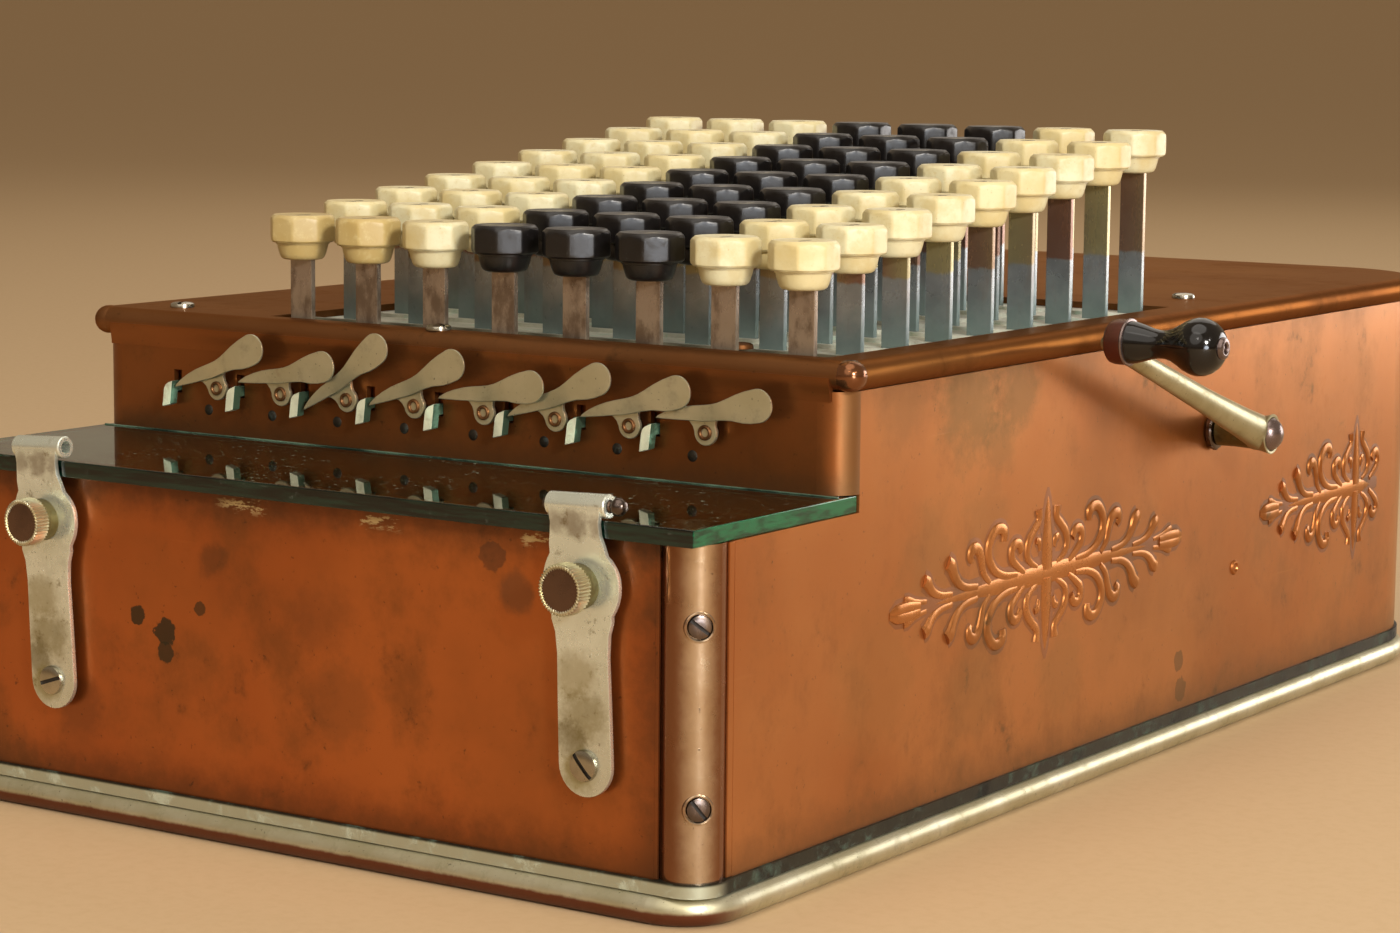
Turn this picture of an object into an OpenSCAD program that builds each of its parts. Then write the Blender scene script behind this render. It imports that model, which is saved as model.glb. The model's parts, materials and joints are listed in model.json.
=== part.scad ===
// Key-driven calculator: copper case, eight columns of nine keys, cut-off levers and a clearing crank.
// Millimetres. Origin at the centre of the base underside, +X right, +Y to the rear, +Z up.

/* [Case] */
// Width over the side panels
case_w = 204.8; // [200:0.2:230]
// Depth from the front panel to the rear panel
case_d = 372.4; // [366:0.2:400]
// Thickness of the copper sheet
sheet_t = 1.6; // [1.2:0.1:2]
// Height of the top plate's upper face
top_z = 106.8; // [105:0.1:116]
// Height of the ledge that carries the glass
ledge_z = 75.4; // [73:0.1:77]
// Depth of the ledge from the front panel to the lever panel
ledge_d = 50.6; // [49:0.1:54]
// Radius of the front corner posts and of the lever panel's corners
front_corner_r = 6.5; // [6:0.1:8]
// Radius of the rear corners
rear_corner_r = 32; // [24:1:40]
// Radius of the rolled bead round the top plate
bead_r = 3.1; // [2.6:0.1:3.4]

/* [Base] */
// Height of the base moulding
base_h = 6.2; // [5:0.1:8]
// Overhang of the base moulding beyond the panels
base_lip = 2.4; // [1.5:0.1:4]
// Corner radius of the base moulding at the front
base_corner_r = 14; // [10:0.5:18]
// Width of the base moulding's rim
base_rim_w = 16; // [13:0.5:20]
// Thickness of the base moulding's floor
base_floor_t = 2.4; // [2:0.1:4]
// Height of the sill frame that the panels stand on
sill_h = 2.8; // [2:0.1:4]

/* [Glass] */
// Thickness of the glass
glass_t = 3.6; // [3:0.1:4]
// Overhang of the glass in front of the front panel
glass_lip = 3; // [2:0.1:4]
// Place of the left clip across the case
clip_left_x = -68.6; // [-78:0.1:-60]
// Place of the right clip across the case
clip_right_x = 75.6; // [60:0.1:78]
// Width of a clip's strap
clip_w = 13.4; // [12:0.1:15]
// Radius of a clip's round boss
clip_boss_r = 9.4; // [8.5:0.1:10.5]
// Thickness of a clip's sheet
clip_t = 1.2; // [1:0.1:1.4]
// Outer radius of a clip's rolled top
clip_roll_r = 2.4; // [2.2:0.1:2.8]
// Radius of a thumb screw's head
thumb_r = 5.2; // [4.5:0.1:6]
// Length of a thumb screw's head
thumb_len = 3.6; // [3:0.1:5]

/* [Keyboard] */
// Spacing of the key columns
col_pitch = 19.2; // [18.6:0.1:19.6]
// Spacing of the key rows
row_pitch = 18.7; // [18:0.1:19.6]
// Distance from the right side panel to the units column
units_margin = 15.2; // [14.6:0.1:18]
// Distance from the lever panel to the first row
row1_setback = 8.2; // [8:0.1:10]
// Width of a key cap across its flats
cap_af = 14.2; // [12:0.1:15.5]
// Height of a key cap's octagon
cap_h = 6.2; // [5:0.1:8]
// Height of the round cup under a cap
cup_h = 4; // [3:0.1:6]
// Diameter of the cup where it meets the cap
cup_top_d = 11.8; // [10.5:0.1:12]
// Diameter of the cup where it meets the stem
cup_bottom_d = 9.2; // [8:0.1:10.4]
// Width of a key stem
stem_w = 6.2; // [5:0.1:7]
// Thickness of a key stem
stem_t = 1.5; // [1.2:0.1:2]
// Height of the first row's cups above the top plate
row1_rise = 13.3; // [12:0.1:18]
// Rise of the keys from one row to the next
row_step = 2.4; // [1.5:0.1:2.8]
// Thickness of the key plate and of the stem guide
key_plate_t = 2; // [1.5:0.1:3]

/* [Cut-off levers] */
// Distance from the units column to the last lever's rivet
lever_offset = 16.7; // [16.2:0.1:17.2]
// Height of the rivets above the ledge
rivet_rise = 14.9; // [14.4:0.1:15.6]
// Length of a lever from the rivet to the tip
lever_tip = 11.5; // [10:0.1:11.8]
// Length of a lever from the rivet to the centre of its round end
lever_reach = 14; // [12:0.1:14.5]
// Radius of a lever's round end
paddle_r = 3.7; // [3:0.1:3.9]
// Thickness of a lever's sheet
lever_t = 1; // [0.8:0.1:1.2]
// Height of a carry tab
tab_h = 6.2; // [5:0.1:7]
// Width of a carry tab
tab_w = 2.6; // [2.2:0.1:3.4]
// Upward travel of a carry tab
tab_stroke = 2.5; // [1:0.1:3]

/* [Crank] */
// Distance of the crank shaft behind the last row of keys
crank_setback = 15.8; // [15:0.1:30]
// Height of the crank shaft above the ledge
crank_rise = 1.1; // [0.5:0.1:2]
// Gap between the right side panel and the crank's hub
hub_gap = 2; // [1.6:0.1:4]
// Length of the crank's hub
hub_len = 14; // [12:0.1:18]
// Thickness of the crank arm
arm_t = 3.9; // [3:0.1:5]
// Length of the crank arm
arm_len = 88.3; // [70:0.1:95]
// Rest angle of the crank arm above the horizontal
arm_angle = 19; // [10:1:25]
// Radius of the crank shaft
crank_shaft_r = 2.8; // [2.2:0.1:3.4]
// Radius of the handle's bulb
bulb_r = 6.4; // [5.5:0.1:8]
// Length of the handle
handle_len = 22; // [18:0.1:30]

/* [Mechanism] */
// Thickness of the side frames
frame_t = 2; // [1.5:0.1:2.2]
// Gap between a side frame and its side panel
frame_gap = 2.3; // [2.2:0.1:2.5]
// Radius of a number wheel
wheel_r = 23.4; // [20:0.1:24]
// Width of a number wheel
wheel_w = 9; // [7:0.1:9.5]
// Thickness of a segment lever
segment_t = 2; // [1.5:0.1:2.4]
// Radius of the segment pivot rod
pivot_rod_r = 3; // [2.5:0.1:3.5]
// Radius of the register rod
register_rod_r = 2; // [1.5:0.1:2.2]

/* [Hidden] */
$fn = 48;

// Colours
copper = [0.72, 0.42, 0.22];
dark_copper = [0.34, 0.18, 0.08];
nickel = [0.68, 0.64, 0.52];
steel = [0.52, 0.52, 0.5];
dark_steel = [0.25, 0.29, 0.29];
verdigris = [0.4, 0.48, 0.44];
ivory = [0.92, 0.86, 0.65];
ebonite = [0.12, 0.1, 0.09];
glass_green = [0.45, 0.7, 0.6, 0.5];

// Case planes
half_w = case_w / 2;
front_y = -case_d / 2;
rear_y = case_d / 2;
panel_y = front_y + ledge_d;
sill_z = base_h + sill_h;
seam_gap = 0.2;
bead_z = top_z - bead_r;
bead_inset = 0.2;
panel_top_z = bead_z - bead_r - seam_gap;
glass_top_z = ledge_z + glass_t;
lever_panel_z = glass_top_z + seam_gap;
upper_front_y = panel_y + front_corner_r;
rear_seam_y = rear_y - rear_corner_r;
sill_lip = 0.8;
sill_w = 4.2;
post_x = half_w - front_corner_r;
post_y = front_y + front_corner_r;
// Half-chord of a post where a sheet's inner face meets it
post_reach = sqrt(pow(front_corner_r, 2) - pow(front_corner_r - sheet_t, 2)) + seam_gap;
roll_y = panel_y - 0.6 + bead_r;
glass_back_y = upper_front_y - seam_gap;

// Keyboard places
col_count = 8;
row_count = 9;
units_x = half_w - units_margin;
row1_y = panel_y + row1_setback;
last_row_y = row1_y + (row_count - 1) * row_pitch;
key_plate_z = top_z - sheet_t - key_plate_t;
slot_gap = 0.2;
guide_z = glass_top_z + 1;
field_left_x = units_x - (col_count - 1) * col_pitch - 8;
field_right_x = units_x + 7.6;
field_front_y = roll_y + bead_r + 0.4;
field_rear_y = last_row_y + 6;
plate_margin_y = 2;
strip_h = 0.8;
strip_w = 1.6;

function col_x(order) = units_x - (order - 1) * col_pitch;
function row_y(row) = row1_y + (row - 1) * row_pitch;
function cup_z(row) = top_z + row1_rise + (row - 1) * row_step;
// Travel of a key: the segment turns in proportion to the digit, on a lever arm that shortens to the rear
function key_stroke(row) = segment_turn * PI / 180 * row / row_count * (pivot_y - row_y(row));

// Mechanism places
frame_x = half_w - sheet_t - frame_gap - frame_t;
wheel_gap = 1;
// One wheel more than there are columns takes the last carry, where the frames leave room for it
wheel_count = floor((units_x - wheel_gap - wheel_w + min(frame_x, post_x - front_corner_r)) / col_pitch) + 1;
register_t = 1.4;
register_z = ledge_z - 2 - register_t;
pivot_y = 100;
pivot_z = ledge_z - 17.4;
pinion_teeth = 10;
pinion_module = 0.8;
pinion_r = pinion_teeth * pinion_module / 2;
wheel_clear_y = 1.2;
wheel_clear_z = 3.6;
wheel_y = front_y + sheet_t + wheel_clear_y + wheel_r;
wheel_z = register_z - wheel_clear_z - wheel_r;
run_gap = 0.05;
// Gap that keeps seated pieces apart
seat_gap = 0.02;
mesh_gap = 0.1;
center_angle = atan2(pivot_z - wheel_z, pivot_y - wheel_y);
segment_r = norm([pivot_y - wheel_y, pivot_z - wheel_z]) - pinion_r - mesh_gap;
// Turn of a number wheel for the digit nine, and the segment's turn for it
nine_turn = 324;
segment_turn = nine_turn * pinion_r / segment_r;
lever_bar_h = 10;
// Stems end above the levers by the longest travel of a key
stem_end_z = pivot_z + lever_bar_h / 2 + 0.5 + max([for (row = [1:row_count]) key_stroke(row)]);
hub_r = pivot_rod_r + 3;
spring_y = 60;
spring_rod_r = 2.5;
spring_reach = 50;
spring_z = pivot_z - 16;
stay_r = 3;
stay_places = [[150, 30], [-100, 20]];

// Lever panel places
lever_count = 8;
rivet_z = ledge_z + rivet_rise;
rivet_r = 1.4;
rivet_head_r = 2;
lug_r = 2.9;
lever_line = 3.8;
paddle_y = panel_y - 5;
lug_y = panel_y - 0.1 - lever_t;
lever_angles = [26, 15, 38, 27, 13, 25, 19, 13];
tab_offset = 14.3;
tab_z = rivet_z - 2.1;
tab_y = panel_y - 3.6;
tab_t = 3;
shank_w = tab_w - 0.6;
shank_h = 2.4;
shank_z = tab_z + tab_h / 2 - shank_h - 0.5;
slide_w = tab_w + 1.8;
slide_t = 1;
slide_gap = 0.4;
slide_y = panel_y + sheet_t + slide_gap;
pin_offset = [4.9, 5.5];
pin_r = 1.3;

function lever_x(number) = units_x - lever_offset - (lever_count - number) * col_pitch;
function tab_x(number) = lever_x(number) - tab_offset;

// Crank places
crank_y = last_row_y + crank_setback;
crank_z = ledge_z + crank_rise;
hub_in_x = half_w + hub_gap;
hub_out_x = hub_in_x + hub_len;
arm_recess = 1.9;
arm_out_x = hub_out_x - arm_recess;
arm_in_x = arm_out_x - arm_t;
arm_hub_r = 4.8;
arm_end_r = 3.2;
hub_tube_r = crank_shaft_r + 1.2;
grip_y = crank_y - arm_len * cos(arm_angle);
grip_z = crank_z + arm_len * sin(arm_angle);
grip_pin_r = 1.5;
ferrule_len = 4.5;
ferrule_r = 5;
handle_x = arm_out_x + ferrule_len + seam_gap;
button_r = 2.3;
crank_teeth = 12;
crank_module = 1.5;
crank_pinion_r = crank_teeth * crank_module / 2;
rack_t = 3;
rack_x = frame_x - 1.5 - rack_t;
rack_h = 4.5;
rack_front = 100;
rack_rear = 60;
guide_front = 70;
guide_rear = 40;
rack_pitch_z = crank_z - crank_pinion_r - mesh_gap;
rack_root_z = rack_pitch_z - crank_module;
pressure = 25;
addendum = 0.8;
backlash = 0.07;

// Clip places
clip_y = front_y - glass_lip - 0.4 - clip_t;
clip_boss_z = ledge_z - 9.7;
clip_foot_z = sill_z + 21.2;
clip_roll_z = glass_top_z + 0.1 + clip_roll_r;
clip_roll_w = 14.6;
clip_neck_w = 11.6;
thumb_shank_r = 2;
collar_len = 1.8;
collar_r = thumb_r - 0.7;
screw_r = 3;
screw_h = 1.2;
post_screw_z = [sill_z + 14.7, sill_z + 50.5];
post_seat = front_corner_r - 0.9;
clip_places = [clip_left_x, clip_right_x];
top_screw_r = 2.9;

// A flat shape in Y and Z, thickened along X from x0
module along_x(x0, t) {
    translate([x0, 0, 0]) rotate([90, 0, 90]) linear_extrude(t) children();
}

// A flat shape in X and Z, thickened along Y from y0
module along_y(y0, t) {
    translate([0, y0 + t, 0]) rotate([90, 0, 0]) linear_extrude(t) children();
}

// A cylinder along X from x0
module rod_x(x0, len, r, y, z) {
    translate([x0, y, z]) rotate([0, 90, 0]) cylinder(h = len, r = r);
}

// A cylinder along Y from y0
module rod_y(y0, len, r, x, z) {
    translate([x, y0, z]) rotate([-90, 0, 0]) cylinder(h = len, r = r);
}

// A copy on each side of the case
module both_sides() {
    children();
    mirror([1, 0, 0]) children();
}

// The case seen from above, grown by a margin, with its own front corner radius
module plan(grow, front_r) {
    w = half_w + grow;
    f = front_y - grow;
    r = rear_y + grow;
    rear_r = rear_corner_r + grow;
    translate([-w, f + front_r]) square([2 * w, r - rear_r - f - front_r]);
    translate([front_r - w, f]) square([2 * (w - front_r), front_r]);
    translate([rear_r - w, r - rear_r]) square([2 * (w - rear_r), rear_r]);
    for (side = [-1, 1]) {
        translate([side * (w - front_r), f + front_r]) circle(front_r);
        translate([side * (w - rear_r), r - rear_r]) circle(rear_r);
    }
}

// A quarter of a round bead that follows a corner
module bead_corner(x, y, turn, corner_r, r, z) {
    translate([x, y, z]) rotate([0, 0, turn]) rotate_extrude(angle = 90) translate([corner_r, 0]) circle(r);
}

function polar(r, angle) = [r * cos(angle), r * sin(angle)];

// Involute gear teeth
function involute(r, base_r) =
    let (q = sqrt(max(pow(r / base_r, 2) - 1, 0))) q * 180 / PI - atan(q);
function tooth_half(r, pitch_r, m) =
    let (base_r = pitch_r * cos(pressure), half = 45 * m / pitch_r - backlash * 180 / PI / pitch_r)
    half + involute(pitch_r, base_r) - involute(max(r, base_r), base_r);
function tooth_radii(pitch_r, m) =
    let (root = pitch_r - m, tip = pitch_r + addendum * m)
    [root, pitch_r - m * 0.4, pitch_r, pitch_r + m * 0.4, tip];
function tooth(angle, pitch_r, m) =
    let (radii = tooth_radii(pitch_r, m), last = len(radii) - 1)
    concat(
        [for (r = radii) polar(r, angle - tooth_half(r, pitch_r, m))],
        [for (i = [last:-1:0]) polar(radii[i], angle + tooth_half(radii[i], pitch_r, m))]
    );

module gear(teeth, m, first_angle) {
    pitch_r = teeth * m / 2;
    polygon([for (i = [0:teeth - 1]) each tooth(first_angle + i * 360 / teeth, pitch_r, m)]);
}

module base_moulding() {
    edge_r = base_h / 2;
    core = base_lip - edge_r;
    front_r = base_corner_r - edge_r;
    w = half_w + core;
    f = front_y - core;
    rear_r = rear_corner_r + core;
    color(nickel) difference() {
        union() {
            linear_extrude(base_h) plan(core, front_r);
            for (side = [-1, 1]) {
                rod_y(f + front_r, rear_y + core - rear_r - f - front_r, edge_r, side * w, edge_r);
            }
            rod_x(front_r - w, 2 * (w - front_r), edge_r, f, edge_r);
            rod_x(rear_r - w, 2 * (w - rear_r), edge_r, rear_y + core, edge_r);
            bead_corner(w - front_r, f + front_r, 270, front_r, edge_r, edge_r);
            bead_corner(front_r - w, f + front_r, 180, front_r, edge_r, edge_r);
            bead_corner(w - rear_r, rear_y + core - rear_r, 0, rear_r, edge_r, edge_r);
            bead_corner(rear_r - w, rear_y + core - rear_r, 90, rear_r, edge_r, edge_r);
        }
        translate([0, 0, base_floor_t]) linear_extrude(base_h) plan(base_lip - base_rim_w, front_corner_r);
    }
}

module sill_frame() {
    color(dark_steel) translate([0, 0, base_h]) linear_extrude(sill_h) difference() {
        plan(sill_lip, front_corner_r + sill_lip);
        plan(sill_lip - sill_w, front_corner_r);
    }
}

module front_panel() {
    w = post_x - post_reach;
    color(copper) translate([-w, front_y, sill_z]) cube([2 * w, sheet_t, ledge_z - sill_z]);
}

// A side panel steps down at the front to make the ledge
module side_sheet() {
    along_x(half_w - sheet_t, sheet_t) {
        front = post_y + post_reach;
        translate([front, sill_z]) square([rear_seam_y - front, ledge_z - sill_z]);
        translate([upper_front_y, sill_z]) square([rear_seam_y - upper_front_y, panel_top_z - sill_z]);
    }
}

module left_side_panel() {
    color(copper) mirror([1, 0, 0]) side_sheet();
}

module right_side_panel() {
    color(copper) difference() {
        side_sheet();
        rod_x(half_w - 2 * sheet_t, 4 * sheet_t, crank_shaft_r + 1.2, crank_y, crank_z);
    }
}

module rear_panel() {
    color(copper) translate([0, 0, sill_z]) linear_extrude(panel_top_z - sill_z) difference() {
        intersection() {
            plan(0, front_corner_r);
            translate([-case_w, rear_seam_y]) square([2 * case_w, case_d]);
        }
        plan(-sheet_t, front_corner_r);
    }
}

module corner_posts() {
    color(copper) both_sides() difference() {
        translate([post_x, post_y, sill_z]) cylinder(h = ledge_z - sill_z, r = front_corner_r);
        for (z = post_screw_z) {
            translate([post_x, post_y, z]) rotate([90, 0, 45]) translate([0, 0, post_seat])
                cylinder(h = front_corner_r, r = screw_r + run_gap);
        }
    }
}

module lever_panel() {
    slot_z = shank_z - slot_gap;
    slot_h = shank_h + tab_stroke + 2 * slot_gap;
    color(dark_copper) difference() {
        translate([0, 0, lever_panel_z]) linear_extrude(panel_top_z - lever_panel_z) {
            translate([-post_x, panel_y]) square([2 * post_x, sheet_t]);
            for (side = [0, 1]) mirror([side, 0]) translate([post_x, upper_front_y]) difference() {
                circle(front_corner_r);
                circle(front_corner_r - sheet_t);
                translate([-2 * front_corner_r, -front_corner_r])
                    square([2 * front_corner_r, 3 * front_corner_r]);
                translate([-front_corner_r, 0]) square(3 * front_corner_r);
            }
        }
        for (number = [1:lever_count]) {
            rod_y(panel_y - sheet_t, 3 * sheet_t, rivet_r + run_gap, lever_x(number), rivet_z);
            translate([tab_x(number) - shank_w / 2 - slot_gap, panel_y - sheet_t, slot_z])
                cube([shank_w + 2 * slot_gap, 3 * sheet_t, slot_h]);
            translate([tab_x(number) - slide_w / 2 - slot_gap, slide_y - slot_gap, slot_z - tab_h / 2])
                cube([slide_w + 2 * slot_gap, front_corner_r, slot_h + tab_h]);
        }
    }
}

module top_plate() {
    bead_x = half_w - bead_inset;
    corner_r = rear_corner_r - bead_inset;
    corner_y = rear_y - bead_inset - corner_r;
    color(copper) difference() {
        union() {
            translate([0, 0, top_z - sheet_t]) linear_extrude(sheet_t) intersection() {
                plan(-bead_inset, front_corner_r);
                translate([-case_w, roll_y]) square([2 * case_w, case_d]);
            }
            rod_x(-bead_x, 2 * bead_x, bead_r, roll_y, bead_z);
            rod_x(corner_r - bead_x, 2 * (bead_x - corner_r), bead_r, rear_y - bead_inset, bead_z);
            for (side = [-1, 1]) {
                rod_y(roll_y, corner_y - roll_y, bead_r, side * bead_x, bead_z);
                translate([side * bead_x, roll_y, bead_z]) sphere(bead_r);
            }
            bead_corner(bead_x - corner_r, corner_y, 0, corner_r, bead_r, bead_z);
            bead_corner(corner_r - bead_x, corner_y, 90, corner_r, bead_r, bead_z);
        }
        translate([field_left_x, field_front_y, top_z - 2 * sheet_t])
            cube([field_right_x - field_left_x, field_rear_y - field_front_y, 4 * sheet_t]);
    }
}

// A rectangle with a slot for every key stem
module stem_slots(x0, x1, y0, y1) {
    difference() {
        translate([x0, y0]) square([x1 - x0, y1 - y0]);
        for (order = [1:col_count], row = [1:row_count]) {
            translate([col_x(order), row_y(row)])
                square([stem_w + 2 * slot_gap, stem_t + 2 * slot_gap], center = true);
        }
    }
}

module key_plate() {
    strip_x = field_left_x + 1;
    edge_x = frame_x + frame_t;
    color(verdigris) {
        translate([0, 0, key_plate_z]) linear_extrude(key_plate_t)
            stem_slots(-edge_x, edge_x, field_front_y - 0.2, field_rear_y + plate_margin_y);
        for (row = [1:row_count - 1]) {
            translate([strip_x, row_y(row + 0.5) - strip_w / 2, key_plate_z + key_plate_t])
                cube([field_right_x - 1 - strip_x, strip_w, strip_h]);
        }
    }
}

module stem_guide() {
    color(steel) translate([0, 0, guide_z]) linear_extrude(key_plate_t)
        stem_slots(-frame_x, frame_x, row1_y - stem_t - 2, last_row_y + stem_t + 2);
}

module register_plate() {
    window_d = 12;
    x = half_w - sheet_t - seam_gap;
    y0 = front_y + sheet_t + seam_gap;
    color(dark_steel) translate([0, 0, register_z]) linear_extrude(register_t) difference() {
        translate([-x, y0]) square([2 * x, upper_front_y - y0]);
        for (order = [1:min(wheel_count, col_count + 1)]) {
            translate([col_x(order) - wheel_gap - wheel_w, wheel_y - window_d / 2])
                square([wheel_w, window_d]);
        }
        for (side = [-1, 1]) {
            translate([side * post_x, post_y]) circle(front_corner_r + seam_gap);
        }
    }
}

module glass_plate() {
    x = half_w - 2 * seam_gap;
    color(glass_green) translate([-x, front_y - glass_lip, ledge_z])
        cube([2 * x, glass_back_y - front_y + glass_lip, glass_t]);
}

module clip_strap() {
    translate([0, clip_foot_z]) circle(clip_w / 2);
    translate([-clip_w / 2, clip_foot_z]) square([clip_w, clip_boss_z - clip_foot_z]);
    translate([0, clip_boss_z]) circle(clip_boss_r);
    translate([-clip_neck_w / 2, clip_boss_z]) square([clip_neck_w, clip_roll_z - clip_boss_z]);
    polygon([
        [-clip_neck_w / 2, ledge_z], [clip_neck_w / 2, ledge_z],
        [clip_roll_w / 2, glass_top_z], [clip_roll_w / 2, clip_roll_z],
        [-clip_roll_w / 2, clip_roll_z], [-clip_roll_w / 2, glass_top_z]
    ]);
}

module clip(x) {
    standoff = front_y - clip_y - clip_t;
    roll_center_y = clip_y + clip_roll_r;
    translate([x, 0, 0]) difference() {
        union() {
            along_y(clip_y, clip_t) clip_strap();
            rod_x(-clip_roll_w / 2, clip_roll_w, clip_roll_r, roll_center_y, clip_roll_z);
            rod_y(clip_y + clip_t, standoff, clip_w / 2 - 1.5, 0, clip_boss_z);
            rod_y(clip_y + clip_t, standoff, clip_w / 2 - 1.5, 0, clip_foot_z);
        }
        rod_x(-clip_roll_w, 2 * clip_roll_w, clip_roll_r - clip_t, roll_center_y, clip_roll_z);
        rod_y(clip_y - clip_t, standoff + 3 * clip_t, thumb_shank_r + run_gap, 0, clip_boss_z);
    }
}

module glass_clips() {
    pin_len = clip_roll_w + 1;
    ball_r = clip_roll_r - 0.5;
    color(nickel) for (x = clip_places) clip(x);
    color(dark_steel) translate([clip_right_x, clip_y + clip_roll_r, clip_roll_z]) {
        rod_x(-clip_roll_w / 2, pin_len, clip_roll_r - clip_t - run_gap, 0, 0);
        translate([pin_len - clip_roll_w / 2 + ball_r / 2, 0, 0]) sphere(ball_r);
    }
}

module thumb_screw(x) {
    collar_y = clip_y - collar_len;
    color(steel) {
        rod_y(collar_y - thumb_len, thumb_len, thumb_r, x, clip_boss_z);
        rod_y(collar_y, collar_len - 0.1, collar_r, x, clip_boss_z);
        rod_y(collar_y, front_y - collar_y - seam_gap, thumb_shank_r, x, clip_boss_z);
    }
}

module thumb_screw_left() {
    thumb_screw(clip_left_x);
}

module thumb_screw_right() {
    thumb_screw(clip_right_x);
}

module case_screws() {
    deck_screws = [
        [-half_w + 15.6, panel_y + 11.1, top_z], [units_x - 4.78 * col_pitch, roll_y + 1.4, top_z],
        [units_x - 1.12 * col_pitch, row_y(1.5), key_plate_z + key_plate_t + strip_h],
        [units_x - 1.7, last_row_y + 33, top_z], [-half_w + 15.6, last_row_y + 33, top_z]
    ];
    color(nickel) {
        both_sides() for (z = post_screw_z) {
            translate([post_x, post_y, z]) rotate([90, 0, 45]) translate([0, 0, post_seat])
                cylinder(h = screw_h, r = screw_r);
        }
        for (x = clip_places) rod_y(clip_y - screw_h, screw_h, screw_r + 0.3, x, clip_foot_z);
        for (place = deck_screws) translate(place) cylinder(h = screw_h, r = top_screw_r);
        for (number = [1:lever_count]) {
            translate([lever_x(number) - pin_offset.x, 0, rivet_z - pin_offset.y])
                rod_y(panel_y - screw_h / 2, screw_h / 2, pin_r, 0, 0);
        }
    }
}

module side_frame() {
    frame_front_y = post_y + front_corner_r + seam_gap;
    frame_rear_y = rear_seam_y - 4;
    along_x(frame_x, frame_t) {
        translate([frame_front_y, base_h]) square([frame_rear_y - frame_front_y, register_z - base_h]);
        translate([upper_front_y + seam_gap, base_h])
            square([frame_rear_y - upper_front_y - seam_gap, key_plate_z - base_h]);
    }
}

module side_frames() {
    guide_h = 4;
    guide_len = 10;
    color(steel) {
        mirror([1, 0, 0]) side_frame();
        difference() {
            side_frame();
            rod_x(frame_x - frame_t, 3 * frame_t, crank_shaft_r + run_gap, crank_y, crank_z);
        }
        for (y = [crank_y - guide_front, crank_y + guide_rear]) {
            translate([rack_x - 0.5, y, rack_root_z - rack_h - guide_h - 0.1])
                cube([frame_x - rack_x + 0.5, guide_len, guide_h]);
        }
    }
}

module cross_rods() {
    color(steel) {
        rod_x(-frame_x, 2 * frame_x, pivot_rod_r, pivot_y, pivot_z);
        rod_x(-frame_x, 2 * frame_x, register_rod_r, wheel_y, wheel_z);
        rod_x(-frame_x, 2 * frame_x, spring_rod_r, spring_y, spring_z);
        for (place = stay_places) rod_x(-frame_x, 2 * frame_x, stay_r, place.x, place.y);
    }
}

// A long lever on the pivot rod with a toothed segment at its front end
module segment_lever(order) {
    step = 180 * pinion_module / segment_r;
    first = center_angle + 180 + 1.5 * step;
    teeth = 12;
    back_r = segment_r - 9;
    edge_r = 0.996 * segment_r;
    low = first + 0.7 * step;
    high = first - (teeth - 0.3) * step;
    along_x(col_x(order) - 0.5, segment_t) difference() {
        union() {
            translate([pivot_y, pivot_z]) circle(hub_r);
            translate([pivot_y - back_r - 4, pivot_z - lever_bar_h / 2]) square([back_r + 4, lever_bar_h]);
            translate([pivot_y, pivot_z]) polygon(concat(
                [polar(back_r, high), polar(edge_r, high)],
                [for (i = [teeth - 1:-1:0]) each tooth(first - i * step, segment_r, pinion_module)],
                [polar(edge_r, low), polar(back_r, low)]
            ));
        }
        translate([pivot_y, pivot_z]) circle(pivot_rod_r + run_gap);
    }
}

module segment_levers() {
    color(steel) for (order = [2:col_count]) segment_lever(order);
}

module units_segment() {
    color(steel) segment_lever(1);
}

// A leaf spring on the spring rod under each lever
module lever_springs() {
    leaf_t = 0.8;
    leaf_w = 3;
    tip_y = spring_y - spring_reach;
    tip_z = pivot_z - lever_bar_h / 2 - 0.3;
    foot_z = spring_z + spring_rod_r;
    color(steel) for (order = [1:col_count]) {
        along_x(col_x(order) - 0.5 + (segment_t - leaf_w) / 2, leaf_w) {
            translate([spring_y, spring_z]) difference() {
                circle(spring_rod_r + leaf_t);
                circle(spring_rod_r + run_gap);
            }
            polygon([
                [spring_y, foot_z + run_gap], [spring_y, foot_z + leaf_t],
                [tip_y, tip_z], [tip_y, tip_z - leaf_t]
            ]);
        }
    }
}

// A number wheel with its pinion on the register rod
module number_wheel(order) {
    color(ivory) difference() {
        union() {
            rod_x(col_x(order) - wheel_gap - wheel_w, wheel_w, wheel_r, wheel_y, wheel_z);
            along_x(col_x(order) - wheel_gap, segment_t + wheel_gap) translate([wheel_y, wheel_z])
                gear(pinion_teeth, pinion_module, center_angle);
        }
        rod_x(col_x(order) - 2 * wheel_w, 4 * wheel_w, register_rod_r + run_gap, wheel_y, wheel_z);
    }
}

module number_wheels() {
    for (order = [2:min(wheel_count, col_count + 1)]) number_wheel(order);
}

module units_wheel() {
    number_wheel(1);
}

// A sliding bar with rack teeth under the crank shaft's pinion
module clearing_bar() {
    pitch = PI * crank_module;
    slope = tan(pressure);
    half = pitch / 4 - 0.1;
    front = crank_y - rack_front;
    rear = crank_y + rack_rear;
    low = half + crank_module * slope;
    high = half - addendum * crank_module * slope;
    tip_z = rack_pitch_z + addendum * crank_module;
    color(steel) along_x(rack_x, rack_t) {
        translate([front, rack_root_z - rack_h]) square([rear - front, rack_h]);
        for (i = [-2:6]) translate([crank_y + (i + 0.5) * pitch, 0])
            polygon([[-low, rack_root_z - 0.1], [low, rack_root_z - 0.1], [high, tip_z], [-high, tip_z]]);
    }
}

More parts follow.
